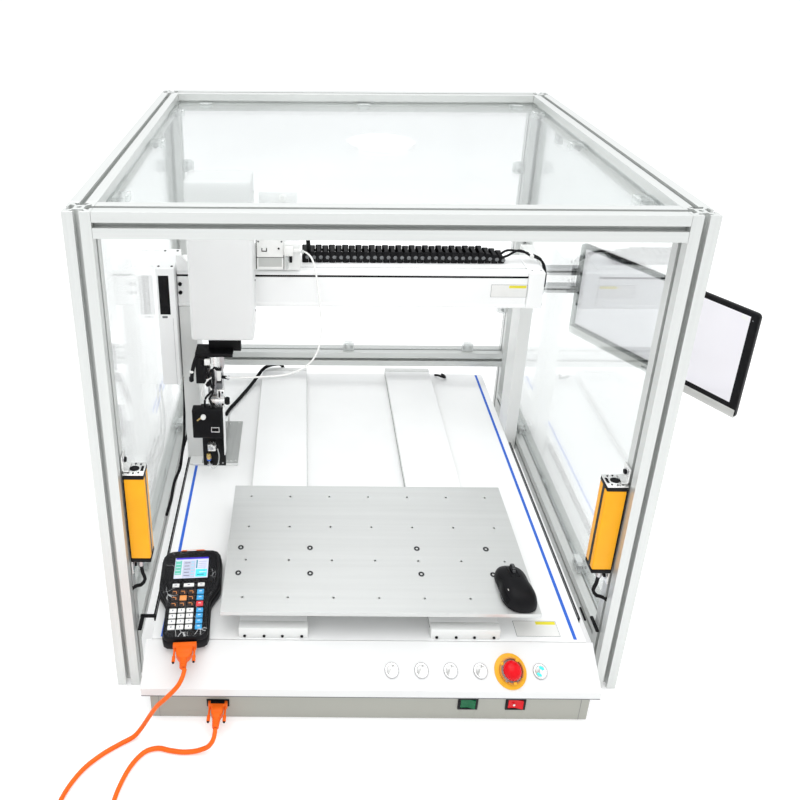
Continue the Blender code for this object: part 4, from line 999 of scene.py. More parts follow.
def make_pendant_screen(frame_at, face):
    screen = Piece("pendant_screen")

    def patch(x0, y0, x1, y1, material, rise=0.0003):
        shape = brick((x1 - x0, y1 - y0, 0.0008), 0.0002, 1)
        screen.add(shape, material, frame_at @ place((x0 + x1) / 2, (y0 + y1) / 2, face + rise))

    patch(-0.0360, 0.0235, 0.0365, 0.0805, "black_gloss", 0.0)
    patch(-0.0310, 0.0278, 0.0320, 0.0765, "lcd_pale")
    patch(-0.0300, 0.0725, 0.0320, 0.0765, "lcd_blue", 0.0005)
    patch(-0.0300, 0.0360, -0.0180, 0.0700, "lcd_green", 0.0005)
    patch(-0.0155, 0.0290, 0.0075, 0.0690, "lcd_grey", 0.0005)
    patch(0.0090, 0.0500, 0.0115, 0.0700, "lcd_teal", 0.0005)
    patch(0.0090, 0.0300, 0.0300, 0.0480, "lcd_cyan", 0.0005)
    for row in range(5):
        y = 0.0330 + 0.0075 * row
        patch(-0.0130, y, -0.0020 - 0.0015 * (row % 2), y + 0.0014, "lcd_ink", 0.0007)
        patch(0.0000, y + 0.0015, 0.0050, y + 0.0028, "lcd_cyan", 0.0007)
        patch(-0.0290, y + 0.0050, -0.0200, y + 0.0062, "lcd_pale", 0.0007)
    for row in range(4):
        patch(0.0135, 0.0510 + 0.0046 * row, 0.0290, 0.0530 + 0.0046 * row, "lcd_grey", 0.0007)
    patch(0.0120, 0.0340, 0.0250, 0.0362, "lcd_teal", 0.0007)
    patch(0.0160, 0.0400, 0.0280, 0.0418, "lcd_pale", 0.0007)
    screen.done("root")


def make_pendant_keys(frame_at, face):
    keys = Piece("pendant_keys")

    def key(x, y, w, h, material):
        keys.add(brick((w, h, 0.0030), 0.0010, 2), material, frame_at @ place(x, y, face + 0.0008))

    def mark(x, y, w, h, material):
        keys.add(brick((w, h, 0.0004), 0.0001, 1), material, frame_at @ place(x, y, face + 0.0024))

    for x, w in ((-0.0247, 0.0125), (-0.0011, 0.0190), (0.0215, 0.0125)):
        key(x, 0.0113, w, 0.0075, "white_plastic")
        mark(x, 0.0113, 0.0045, 0.0013, "lcd_ink")
    for row, y in enumerate((-0.0042, -0.0170, -0.0303)):
        for column, x in enumerate((-0.0240, -0.0092, 0.0058)):
            middle = (row, column) == (1, 1)
            key(x, y, 0.0125, 0.0105, "key_orange" if middle else "key_dark")
            if not middle:
                mark(x - 0.0015, y + 0.001, 0.0060, 0.0010, "key_orange")
                mark(x + 0.0020, y - 0.002, 0.0010, 0.0045, "key_orange")
        key(0.0212, y - 0.0005, 0.0125, 0.0105, "key_red" if row == 2 else "key_blue")
        mark(0.0212, y, 0.0050, 0.0012, "white_plastic")
    for row, y in enumerate((-0.0438, -0.0552, -0.0665, -0.0780)):
        for x in (-0.0250, -0.0100, 0.0050):
            key(x, y, 0.0125, 0.0085, "white_plastic")
            mark(x, y, 0.0016, 0.0030, "lcd_ink")
        key(0.0222, y - 0.0008, 0.0120, 0.0092, "key_blue")
        mark(0.0222, y, 0.0045, 0.0012, "white_plastic")
    keys.done("root")


def make_pendant_film(frame_at, top):
    film = Piece("pendant_film")
    sheet = bmesh.new()
    bmesh.ops.create_grid(sheet, x_segments=60, y_segments=120, size=1.0)
    half = PENDANT_HALF - 0.0035
    widths = sorted(pendant_side(0.0035), key=lambda p: p[1])
    chance = random.Random(7)
    folds = [(chance.uniform(-0.05, 0.05), chance.uniform(-0.095, 0.095), chance.uniform(0, math.pi),
              chance.uniform(0.0016, 0.0040), chance.uniform(0.0004, 0.0011)) for _ in range(44)]
    for vert in sheet.verts:
        y = vert.co.y * half
        index = next((i for i, p in enumerate(widths) if p[1] >= y), len(widths) - 1)
        lower, upper = widths[max(0, index - 1)], widths[index]
        share = 0 if upper[1] == lower[1] else min(1, max(0, (y - lower[1]) / (upper[1] - lower[1])))
        x = vert.co.x * (lower[0] + (upper[0] - lower[0]) * share)
        z = top + 0.0016
        for fx, fy, turn, width, height in folds:
            across = (x - fx) * math.sin(turn) - (y - fy) * math.cos(turn)
            away = math.hypot(x - fx, y - fy)
            z += height * math.exp(-(across / width) ** 2) * math.exp(-(away / 0.016) ** 2)
        rim = max(abs(vert.co.x), abs(vert.co.y))
        z -= 0.0030 * max(0.0, rim - 0.88) / 0.12
        vert.co = (x, y, z)
    film.add(sheet, "film", frame_at)
    film.done("root", angle=180)


def make_hoods(frame_at):
    """The connector hoods at the controller's foot and at the port, which the cord joins."""
    face_at = frame_at @ place(0, -PENDANT_HALF - 0.0004, 0)
    pendant_hood = connector_hood("pendant_plug_hood", "pendant_plug", face_at, 0.040)
    port_low, port_high = span("port_plug")
    port_at = place((port_low.x + port_high.x) / 2, port_high.y, (port_low.z + port_high.z) / 2)
    port_hood = connector_hood("port_plug_hood", "port_plug", port_at, 0.033)
    return pendant_hood, port_hood


def make_pendant():
    """The hand controller, turned a little on the base; gives back its two connector hoods."""
    low, high = span("pendant_body")
    centre = Matrix.Translation((low + high) / 2)
    frame_at = centre @ Matrix.Rotation(PENDANT_TURN, 4, "Z")
    top = (high.z - low.z) / 2
    face = top - 0.0004
    make_pendant_case(frame_at, top)
    make_pendant_screen(frame_at, face)
    make_pendant_keys(frame_at, face)
    make_pendant_film(frame_at, top)
    return make_hoods(frame_at)


# Gantry ----------------------------------------------------------------------------------------

LINK_COUNT = 30


def make_chain():
    """Side plates, bridging bars and the leads inside, one set for each link."""
    low, high = span("cable_chain")
    pitch = (high.x - low.x) / LINK_COUNT
    chain = Piece("cable_chain_links")
    plate = 0.0030
    for i in range(LINK_COUNT):
        x = low.x + (i + 0.5) * pitch
        drop = max(0, i - LINK_COUNT + 4) * 0.0030
        peak = high.z - drop - (0.0012 if i % 2 else 0.0)
        nudge = 0.0006 if i % 2 else 0.0
        for side, y in ((-1, low.y + plate / 2 + nudge), (1, high.y - plate / 2 - nudge)):
            chain.add(brick((pitch * 0.94, plate, peak - low.z - 0.001), 0.0022, 2), "black_plastic",
                      place(x, y, (peak + low.z) / 2))
            chain.add(rod(0.0042, 0.0012, 16, 0.0003), "grey_plastic",
                      place(x + pitch * 0.3, y + side * plate / 2, (peak + low.z) / 2, (0, side, 0)))
        for z in (peak - 0.0016, low.z + 0.0016):
            chain.add(brick((pitch * 0.52, high.y - low.y - 0.004, 0.0026), 0.0008, 1), "black_plastic",
                      place(x, (low.y + high.y) / 2, z))
    chain.done("root", replaces=["cable_chain"])
    leads = Piece("chain_leads")
    middle = (low.y + high.y) / 2
    for k, (y, radius) in enumerate(((middle - 0.009, 0.0035), (middle, 0.0030), (middle + 0.009, 0.0035))):
        leads.wire([(low.x + 0.01, y, low.z + 0.010), (0.0, y, low.z + 0.009),
                    (high.x - 0.004, y, low.z + 0.010)],
                   radius, "black_rubber", 8, 0.02)
    cap_high = span("x_end_cap")[1]
    for k in range(2):
        y = middle - 0.012 + 0.010 * k
        leads.wire([
            (high.x - 0.012, y, low.z + 0.010), (high.x + 0.006, y, low.z + 0.016 + 0.008 * k),
            (high.x + 0.030, y - 0.002, low.z + 0.030 - 0.006 * k),
            (cap_high.x - 0.022, y - 0.004, cap_high.z + 0.018),
            (cap_high.x + 0.002, y - 0.012, cap_high.z + 0.008),
            (cap_high.x + 0.009, y - 0.022, cap_high.z - 0.018),
            (cap_high.x + 0.008, y - 0.026, cap_high.z - 0.046),
        ], 0.0026, "black_rubber", 8)
    leads.box((cap_high.x - 0.024, middle - 0.022, cap_high.z + 0.012),
              (cap_high.x - 0.016, middle + 0.004, cap_high.z + 0.021), "white_plastic", 0.001, 1)
    leads.done("root")


def make_beam():
    low, high = span("x_beam")
    strip = Piece("beam_band")
    # black lining inside the beam's front groove: painted shade of the groove
    strip.box((low.x, low.y + 0.0018, high.z - 0.0141), (high.x, low.y + 0.0042, high.z - 0.0089),
              "black_gloss", 0.0002, 1)
    strip.box((low.x, low.y - 0.0012, low.z + 0.0006), (high.x, low.y + 0.001, low.z + 0.0090),
              "white_paint", 0.0006, 2)
    strip.box((low.x, low.y + 0.020, high.z - 0.0004), (high.x, low.y + 0.0208, high.z + 0.0004),
              "grey_plastic", 0.0002, 1)
    strip.done("root")
    cap_low, cap_high = span("x_end_cap")
    screws = Piece("end_cap_screws")
    for y in (cap_low.y + 0.012, cap_high.y - 0.012):
        for z in (cap_low.z + 0.006, cap_low.z + 0.032, cap_high.z - 0.008):
            screws.screw((cap_high.x, y, z), (1, 0, 0), 0.0036, "black_metal", 0.0030)
    for x in (cap_low.x + 0.008, cap_high.x - 0.008):
        screws.screw((x, cap_low.y + 0.010, cap_high.z), (0, 0, 1), 0.0022, "steel", 0.0008)
    screws.done("root")


def make_drive_housing():
    low, high = span("x_drive_housing")
    piece = Piece("drive_housing_details")
    middle = (low.x + high.x) / 2 - 0.004
    piece.box((middle - 0.0125, low.y + 0.0022, 0.505), (middle + 0.0125, low.y + 0.0045, 0.603),
              "black_gloss", 0.0003, 1)
    piece.box((middle - 0.0030, low.y + 0.0040, 0.506), (middle + 0.0030, low.y + 0.0120, 0.602),
              "black_rubber", 0.0008, 1)
    for k in range(24):
        z = 0.508 + 0.0039 * k
        piece.box((middle - 0.0030, low.y + 0.0034, z), (middle + 0.0030, low.y + 0.0042, z + 0.0020),
                  "black_rubber", 0.0002, 1)
    piece.box((middle - 0.0070, low.y - 0.0004, 0.500), (middle + 0.0040, low.y + 0.0004, 0.505),
              "grey_plastic", 0.0002, 1)
    seam = middle + 0.0155
    piece.box((seam - 0.0002, low.y - 0.0002, low.z + 0.001), (seam + 0.0002, low.y + 0.0002, 0.500),
              "grey_plastic", 0, 1)
    for x in (low.x + 0.006, high.x - 0.006):
        for y in (low.y + 0.010, high.y - 0.012):
            piece.screw((x, y, high.z), (0, 0, 1), 0.0026, "black_metal", 0.0010)
    piece.done("root")


def make_z_cover():
    low, high = span("z_cover")
    piece = Piece("z_cover_screws")
    for z in (0.5256, 0.5958, 0.700, 0.790):
        for x, side in ((low.x, -1), (high.x, 1)):
            piece.screw((x, high.y - 0.016, z), (side, 0, 0), 0.0022, "black_metal", 0.0010)
    piece.done("x_carriage")


def make_valve_block():
    low, high = span("valve_block")
    front = 0.4684
    piece = Piece("valve_unit")
    piece.box((low.x, low.y, low.z), (high.x, high.y, high.z), "white_paint", 0.0012, 2)
    piece.box((-0.2155, front, 0.6400), (-0.1600, 0.4690, 0.6800), "white_plastic", 0.0004, 1)
    piece.box((-0.2155, 0.4690, 0.6685), (-0.1600, high.y, 0.6800), "white_paint", 0.0012, 2)
    piece.box((-0.1585, front - 0.0060, 0.6450), (-0.1400, 0.4690, 0.6660), "white_plastic", 0.0012, 2)
    piece.box((-0.1400, front - 0.0040, 0.6530), (-0.1300, 0.4690, 0.6600), "white_plastic", 0.0010, 2)
    piece.add(rod(0.0034, 0.0060, 20, 0.0008), "white_plastic",
              place(-0.1270, front - 0.0010, 0.6565, (1, 0, 0)))
    piece.box((-0.2172, front + 0.0001, 0.6125), (-0.2156, 0.4690, 0.6790), "black_metal", 0.0003, 1)
    piece.box((-0.1599, front - 0.0004, 0.6125), (-0.1586, 0.4690, 0.6450), "black_metal", 0.0003, 1)
    piece.box((-0.2155, front + 0.0001, 0.6130), (-0.1600, 0.4690, 0.6395), "white_plastic", 0.0004, 1)
    # grey patch over the lower face: painted shade of the recess under the valve's front
    piece.box((-0.2120, front - 0.0003, 0.6185), (-0.1635, 0.4690, 0.6385), "valve_recess_painted_shade", 0.0004, 1)
    piece.box((-0.2155, front - 0.0004, 0.6390), (-0.1600, 0.4688, 0.6402), "black_metal", 0.0002, 1)
    for x in (-0.2120, -0.1640):
        piece.screw((x, front, 0.6755), (0, -1, 0), 0.0020, "grey_plastic", 0.0006)
    for x, z, w, h in ((-0.2045, 0.6572, 0.0018, 0.0075), (-0.1950, 0.6572, 0.0018, 0.0075),
                       (-0.1998, 0.6538, 0.0110, 0.0020)):
        piece.box((x - w / 2, front - 0.0008, z - h / 2), (x + w / 2, front + 0.0003, z + h / 2),
                  "black_plastic", 0.0003, 1)
    piece.screw((-0.1700, front, 0.6600), (0, -1, 0), 0.0022, "black_metal", 0.0010)
    piece.box((-0.2095, 0.4770, 0.6800), (-0.1325, 0.4789, 0.7800), "white_paint", 0.0005, 1)
    piece.add(rod(0.0085, 0.0060, 32, 0.0010), "white_plastic", place(-0.1620, 0.4740, 0.7680, (0, -1, 0)))
    piece.add(ring(0.0068, 0.0034, 0.0050, 32), "white_plastic", place(-0.1620, 0.4700, 0.7700, (0, -1, 0.4)))
    piece.done("x_carriage", replaces=["valve_block"])

    arm = Piece("feed_fitting")
    start = Vector(FEED_ROUTE[0])
    arm.box((-0.1560, 0.4640, 0.6140), (-0.1500, 0.4690, 0.6440), "clear_plastic", 0.0015, 2)
    arm.box((-0.1480, 0.4630, 0.6300), (-0.1420, 0.4690, 0.6440), "black_metal", 0.0008, 1)
    arm.add(rod(0.0042, 0.0120, 20, 0.0010), "clear_plastic",
            place(start.x + 0.002, start.y - 0.002, start.z, (1, -0.2, 0)))
    arm.add(rod(0.0052, 0.0050, 6, 0.0006), "steel", place(start.x - 0.002, start.y, start.z, (1, 0, 0)))
    for k in range(3):
        arm.wire([(-0.1310 + 0.002 * k, 0.4900, 0.6800), (-0.1270 + 0.003 * k, 0.4960, 0.6950),
                  (-0.1180 + 0.004 * k, 0.5080, 0.6900 - 0.004 * k), (-0.1120 + 0.003 * k, 0.5200, 0.6560),
                  (-0.1100 + 0.003 * k, 0.5320, 0.6200)], 0.0016, "black_rubber", 7)
    arm.done("x_carriage")


FEED_ROUTE = [
    (-0.1255, 0.5000, 0.6400),
    (-0.1120, 0.4940, 0.6390),
    (-0.0980, 0.4780, 0.6250),
    (-0.0870, 0.4580, 0.5700),
    (-0.0800, 0.4350, 0.4800),
    (-0.0980, 0.4180, 0.4250),
    (-0.1450, 0.4060, 0.3990),
    (-0.2100, 0.4000, 0.3940),
    (-0.2700, 0.4000, 0.3920),
    (-0.2880, 0.4050, 0.3900),
]


def make_feed_tube():
    piece = Piece("feed_tube_line")
    piece.add(swept(smooth_route(FEED_ROUTE, 0.005), 0.0020, 12), "tube_plastic")
    start = ORIGIN + Vector((0, 0, 0.620))
    end = ORIGIN + Vector((0, 0, 0.400))
    piece.done(None, replaces=["feed_tube"], bend=("x_carriage", "z_slide", start, end))


# Soldering head --------------------------------------------------------------------------------

def make_head_carrier():
    """What hangs under the Z cover and doesn't turn: the motor, its lever and the tube's elbow."""
    low, high = span("r_motor")
    piece = Piece("head_carrier")
    piece.box((low.x + 0.0015, low.y + 0.0015, low.z + 0.010),
              (high.x + 0.004, high.y - 0.001, high.z - 0.004), "black_plastic", 0.0014, 2)
    for k in range(5):
        z = low.z + 0.016 + 0.008 * k
        piece.box((low.x + 0.0009, low.y + 0.0009, z), (high.x + 0.0045, high.y - 0.0004, z + 0.003),
                  "black_metal", 0.0005, 1)
    lever = [(-0.3400, 0.4040, 0.4430), (-0.3440, 0.4000, 0.4330), (-0.3490, 0.3980, 0.4150),
             (-0.3520, 0.3970, 0.3970), (-0.3530, 0.3970, 0.3880)]
    piece.wire(lever, 0.0042, "black_plastic", 10)
    piece.add(rod(0.0048, 0.0060, 16, 0.0012), "white_plastic", place(-0.3515, 0.3970, 0.4085, (-0.15, 0, 1)))
    piece.add(rod(0.0050, 0.0110, 16, 0.0016), "black_rubber", place(-0.3532, 0.3970, 0.3895))
    piece.box((-0.3320, 0.4000, 0.4210), (-0.3130, 0.4040, 0.4360), "white_plastic", 0.0012, 2)
    end = Vector(FEED_ROUTE[-1])
    piece.add(rod(0.0036, 0.0130, 20, 0.0010), "black_plastic",
              place(end.x + 0.004, end.y - 0.001, end.z, (1, -0.2, 0)))
    piece.add(rod(0.0050, 0.0050, 6, 0.0006), "steel", place(end.x + 0.012, end.y - 0.003, end.z,
                                                             (1, -0.2, 0)))
    piece.done("z_slide")


def head_place():
    """Where the head's axis stands, and the front face of its bracket."""
    low, high = span("r_bracket")
    x = (low.x + high.x) / 2
    y = (low.y + high.y) / 2
    return x, y, y - 0.0085


def make_head_bracket():
    low, high = span("r_bracket")
    x, y, front = head_place()
    bracket = Piece("head_bracket")
    bracket.box((x - 0.0165, front, low.z - 0.0002), (x + 0.0165, y + 0.0085, 0.4085), "steel", 0.0016, 2)
    bracket.add(rod(0.0168, 0.0330, 48, 0.0012), "bright_steel", place(x, y, high.z - 0.0166))
    plate = prism([(0.0150, -0.018), (0.0180, -0.010), (0.0180, 0.016), (-0.0150, 0.016), (-0.0150, 0.000),
                   (-0.0060, -0.014), (0.0060, -0.020)], 0.0040, 0.0006, 1)
    bracket.add(plate, "steel", place(x + 0.003, front - 0.0020, 0.4230) @ STANDING)
    bracket.add(ring(0.0050, 0.0026, 0.0010, 24), "bright_steel",
                place(x + 0.004, front - 0.0044, 0.4240, (0, -1, 0)))
    bracket.screw((x + 0.004, front - 0.0042, 0.4240), (0, -1, 0), 0.0024, "black_metal", 0.0004)
    bracket.done("head", replaces=["r_bracket"])


def make_head_wiring():
    x, y, front = head_place()
    wiring = Piece("head_wiring")
    wiring.box((x + 0.0050, front - 0.0105, 0.3820), (x + 0.0135, front - 0.0035, 0.4080), "white_plastic",
               0.0012, 2)
    for z in (0.4090, 0.3810):
        wiring.box((x + 0.0040, front - 0.0115, z - 0.0012), (x + 0.0150, front - 0.0025, z + 0.0012),
                   "black_plastic", 0.0006, 1)
    wiring.wire([(x + 0.0090, front - 0.0070, 0.4080), (x + 0.0010, front - 0.0085, 0.4150),
                 (x - 0.0040, front - 0.0080, 0.4050), (x - 0.0030, front - 0.0100, 0.3800),
                 (x - 0.0060, front - 0.0120, 0.3600), (x - 0.0200, front - 0.0130, 0.3420),
                 (x - 0.0230, front - 0.0125, 0.3250), (x - 0.0220, front - 0.0120, 0.3120)], 0.0024,
                "black_rubber", 9)
    wiring.wire([(x + 0.0060, front - 0.0070, 0.4080), (x - 0.0040, front - 0.0060, 0.4110),
                 (x - 0.0110, front - 0.0070, 0.3950), (x - 0.0080, front - 0.0105, 0.3720),
                 (x - 0.0040, front - 0.0130, 0.3560), (x - 0.0120, front - 0.0150, 0.3400),
                 (x - 0.0060, front - 0.0180, 0.3260), (x + 0.0000, front - 0.0170, 0.3140)], 0.0021,
                "black_rubber", 9)
    wiring.wire([(x - 0.0050, front - 0.0080, 0.3900), (x - 0.0160, front - 0.0110, 0.3830),
                 (x - 0.0270, front - 0.0130, 0.3600), (x - 0.0265, front - 0.0130, 0.3420),
                 (x - 0.0180, front - 0.0140, 0.3370)], 0.0015, "tube_plastic", 8)
    wiring.add(rod(0.0052, 0.0070, 20, 0.0012), "black_plastic",
               place(x - 0.0150, front - 0.0080, 0.3730, (0.4, -1, 0)))
    wiring.add(rod(0.0020, 0.0080, 14, 0.0005), "white_plastic",
               place(x - 0.0080, front - 0.0130, 0.3650, (0.2, -1, 0)))
    wiring.add(rod(0.0068, 0.0160, 24, 0.0012), "grey_plastic", place(x + 0.0090, front - 0.0070, 0.3690))
    wiring.done("head")


def make_iron_clamp():
    x, y, front = head_place()
    clamp = Piece("iron_clamp")
    clamp.box((x - 0.0160, front - 0.0150, 0.3180), (x + 0.0200, front - 0.0008, 0.3400), "bright_steel",
              0.0014, 2)
    clamp.box((x + 0.0050, front - 0.0150, 0.3400), (x + 0.0200, front - 0.0008, 0.3640), "bright_steel",
              0.0014, 2)
    clamp.box((x + 0.0075, front - 0.0170, 0.3450), (x + 0.0110, front - 0.0140, 0.3600), "black_metal",
              0.0006, 1)
    clamp.box((x - 0.0090, front - 0.0170, 0.3240), (x - 0.0010, front - 0.0140, 0.3300), "black_metal",
              0.0008, 1)
    for dx, z in ((0.0160, 0.3570), (0.0160, 0.3270), (-0.0130, 0.3220)):
        clamp.screw((x + dx, front - 0.0150, z), (0, -1, 0), 0.0022, "black_metal", 0.0014)
    clamp.add(rod(0.0056, 0.0150, 24, 0.0014), "black_rubber", place(x + 0.0250, front - 0.0090, 0.3320))
    clamp.add(rod(0.0030, 0.0120, 20, 0.0008), "black_metal",
              place(x + 0.0215, front - 0.0090, 0.3320, (1, 0, 0)))
    clamp.done("head")


def make_wire_feeder():
    plate_low = span("head_plate")[0]
    feeder = Piece("wire_feeder")
    feeder.box((-0.3550, 0.3850, 0.2465), (-0.2890, 0.4060, 0.3195), "black_plastic", 0.0030, 3)
    feeder.box((-0.2890, 0.3880, 0.2000), (-0.2868, 0.4117, 0.3195), "white_paint", 0.0006, 1)
    feeder.box((-0.3380, 0.4050, plate_low.z), (-0.2885, 0.4117, 0.3180), "black_metal", 0.0012, 2)
    feeder.add(rod(0.0056, 0.0090, 24, 0.0024), "white_plastic",
               place(-0.3300, 0.3810, 0.3050, (0.1, -1, 0.3)))
    feeder.add(rod(0.0018, 0.0140, 12, 0.0004), "brass", place(-0.3390, 0.3840, 0.2980, (0.7, -0.2, 0.7)))
    feeder.add(window_frame(0.0180, 0.0130, 0.0150, 0.0090, 0.0010, 0.0002), "bright_steel",
               place(-0.3060, plate_low.y - 0.0003, 0.2700) @ STANDING)
    feeder.box((-0.3130, 0.3842, 0.2665), (-0.2990, 0.3852, 0.2735), "black_gloss", 0.0003, 1)
    for px, pz in ((-0.3500, 0.2520), (-0.2950, 0.2520), (-0.3500, 0.3140), (-0.2950, 0.3140)):
        feeder.screw((px, 0.3850, pz), (0, -1, 0), 0.0018, "black_metal", 0.0008)
    feeder.done("head", replaces=["head_plate"])


def make_feed_nozzle():
    nozzle = Piece("feed_nozzle")
    nozzle.box((-0.3260, 0.3930, 0.2060), (-0.3080, 0.4060, 0.2240), "bright_steel", 0.0016, 2)
    nozzle.box((-0.3210, 0.3890, 0.2120), (-0.3130, 0.3940, 0.2200), "steel", 0.0008, 1)
    nozzle.screw((-0.3170, 0.3890, 0.2160), (0, -1, 0), 0.0026, "steel", 0.0016)
    nozzle.add(rod(0.0062, 0.0050, 24, 0.0010), "bright_steel",
               place(-0.3120, 0.3900, 0.2260, (0.4, -0.2, 1)))
    nozzle.add(rod(0.0052, 0.0080, 6, 0.0008), "brass", place(-0.3240, 0.3940, 0.1900))
    nozzle.add(rod(0.0046, 0.0050, 24, 0.0010), "brass", place(-0.3240, 0.3940, 0.1970))
    nozzle.add(rod(0.0050, 0.0040, 24, 0.0010), "blue_tape", place(-0.3240, 0.3940, 0.1840))
    nozzle.wire([(-0.3240, 0.3940, 0.1830), (-0.3225, 0.3930, 0.1700), (-0.3150, 0.3910, 0.1620),
                 (-0.3050, 0.3900, 0.1720), (-0.3010, 0.3905, 0.1950), (-0.3040, 0.3920, 0.2140)], 0.0014,
                "clear_plastic", 9)
    nozzle.box((-0.3290, 0.3990, 0.1600), (-0.3180, 0.4060, 0.1660), "steel", 0.0008, 1)
    nozzle.screw((-0.3050, 0.4050, 0.1640), (0, -1, 0), 0.0020, "steel", 0.0010)
    nozzle.screw((-0.2950, 0.4050, 0.1660), (0, -1, 0), 0.0020, "steel", 0.0010)
    nozzle.done("head")


def make_iron_sleeve():
    iron = Piece("iron_sleeve")
    iron_low, iron_high = span("soldering_iron")
    centre = ((iron_low.x + iron_high.x) / 2, (iron_low.y + iron_high.y) / 2, iron_low.z)
    iron.add(lathe([(0.0072, 0.146), (0.0086, 0.144), (0.0086, 0.120), (0.0082, 0.118), (0.0086, 0.116),
                    (0.0086, 0.074), (0.0100, 0.070), (0.0100, 0.060), (0.0072, 0.056), (0.0072, 0.146)],
                   40), "black_plastic", place(*centre))
    iron.add(lathe([(0, 0.056), (0.0054, 0.056), (0.0054, 0.030), (0.0036, 0.025), (0.0034, 0.012),
                    (0.0010, 0.0), (0, 0.0)], 32), "bright_steel", place(*centre))
    iron.done("head", replaces=["soldering_iron"])


# Cables lying on the base ----------------------------------------------------------------------

def make_base_cables():
    top = span("base_cover")[1].z
    piece = Piece("base_cables")
    rest = top + 0.0048
    piece.wire([(-0.3120, 0.6400, rest), (-0.3046, 0.6647, rest), (-0.2892, 0.6962, rest + 0.001),
                (-0.2713, 0.7357, rest + 0.002), (-0.2574, 0.7671, rest + 0.003),
                (-0.2430, 0.7979, rest + 0.008), (-0.2280, 0.8080, rest + 0.026),
                (-0.2135, 0.8180, rest + 0.031), (-0.1973, 0.8240, rest + 0.032),
                (-0.1811, 0.8330, rest + 0.028), (-0.1730, 0.8370, rest + 0.016),
                (-0.1720, 0.8376, rest - 0.002)], 0.0046, "black_rubber", 12)
    piece.wire([(0.2480, 0.8280, rest - 0.001), (0.2540, 0.8160, rest + 0.006),
                (0.2660, 0.8080, rest + 0.006), (0.2740, 0.8160, rest), (0.2720, 0.8270, rest - 0.001),
                (0.2680, 0.8350, rest - 0.003)],
               0.0030, "black_rubber", 10)
    piece.wire([(-0.3990, 0.5550, 0.1240), (-0.4030, 0.5100, 0.1180), (-0.4000, 0.4500, 0.1150),
                (-0.4050, 0.4000, 0.1170), (-0.4040, 0.3450, 0.1150), (-0.4060, 0.3000, 0.1140)], 0.0034,
               "black_rubber", 10)
    piece.wire([(-0.3950, 0.5550, 0.3350), (-0.3990, 0.5600, 0.2900), (-0.4010, 0.5620, 0.2300),
                (-0.4040, 0.5600, 0.1700), (-0.4040, 0.5450, 0.1350), (-0.4030, 0.5100, 0.1230),
                (-0.4000, 0.4560, 0.1200)], 0.0030, "black_rubber", 10)
    piece.done("root")


# Monitor ---------------------------------------------------------------------------------------

MONITOR_TURN = math.radians(-57.5)
MONITOR_SIZE = Vector((0.440, 0.028, 0.252))
MONITOR_CHIN = 0.022


def rounded_corners(width, height, radius, steps=6):
    points = []
    for sx, sy, start in ((1, 1, 0), (-1, 1, 90), (-1, -1, 180), (1, -1, 270)):
        for i in range(steps + 1):
            angle = math.radians(start + 90 * i / steps)
            points.append((sx * (width / 2 - radius) + radius * math.cos(angle),
                           sy * (height / 2 - radius) + radius * math.sin(angle)))
    return points


def make_monitor():
    low, high = span("monitor")
    turn = Matrix.Rotation(MONITOR_TURN, 4, "Z")
    reach = turn.to_3x3() @ Vector((MONITOR_SIZE.x / 2, -MONITOR_SIZE.y / 2, 0))
    centre = Vector((high.x - (turn.to_3x3() @ Vector((MONITOR_SIZE.x / 2, MONITOR_SIZE.y / 2, 0))).x,
                     low.y - reach.y, (low.z + high.z) / 2))
    local = Matrix.Translation(centre) @ turn
    make_monitor_case(local, turn.to_3x3())
    make_monitor_screen(local)
    make_monitor_bar_slots()


def make_monitor_case(local, turn):
    width, depth, height = MONITOR_SIZE
    chin = MONITOR_CHIN
    front = -depth / 2
    piece = Piece("monitor_case")
    piece.add(prism(rounded_corners(width, height, 0.009), 0.0120, 0.0020, 3), "black_plastic",
              local @ place(0, front + 0.0062, 0) @ STANDING)
    piece.add(prism(rounded_corners(width - 0.050, height - 0.050, 0.020), 0.0160, 0.0060, 3), "grey_plastic",
              local @ place(0, depth / 2 - 0.0080, 0) @ STANDING)
    piece.add(brick((width - 0.002, 0.0126, chin), 0.0024, 3), "silver_plastic",
              local @ place(0, front + 0.0062, -height / 2 + chin / 2))
    oval = local @ place(0.002, front - 0.0002, -height / 2 + chin / 2) @ STANDING
    piece.add(rod(0.0050, 0.0008, 24, 0.0002), "black_gloss", oval @ Matrix.Diagonal((1.7, 0.7, 1, 1)))
    piece.add(rod(0.0016, 0.0010, 12, 0.0003), "grey_plastic",
              local @ place(width / 2 - 0.011, front - 0.0001, height / 2 - 0.018) @ STANDING)
    for k in range(9):
        piece.add(brick((0.0900, 0.0012, 0.0022), 0.0005, 1), "black_plastic",
                  local @ place(0, depth / 2 + 0.0001, 0.058 + 0.0052 * k))
    piece.add(brick((0.0900, 0.0060, 0.0900), 0.0020, 2), "black_plastic",
              local @ place(0, depth / 2 + 0.0010, 0))
    for sx in (-0.0375, 0.0375):
        for sz in (-0.0375, 0.0375):
            spot = (local @ Vector((sx, depth / 2 + 0.0038, sz)))
            piece.screw(spot, turn @ Vector((0, 1, 0)), 0.0040, "steel", 0.0018)
    piece.add(brick((0.0520, 0.0220, 0.0240), 0.0040, 3), "black_plastic",
              local @ place(0, depth / 2 + 0.0100, 0))
    hub = local @ place(0, 0.035, 0) @ Matrix.Rotation(math.pi / 2, 4, "Y")
    piece.add(rod(0.0120, 0.0520, 40, 0.0010), "steel", hub)
    piece.done("monitor", replaces=["monitor"])


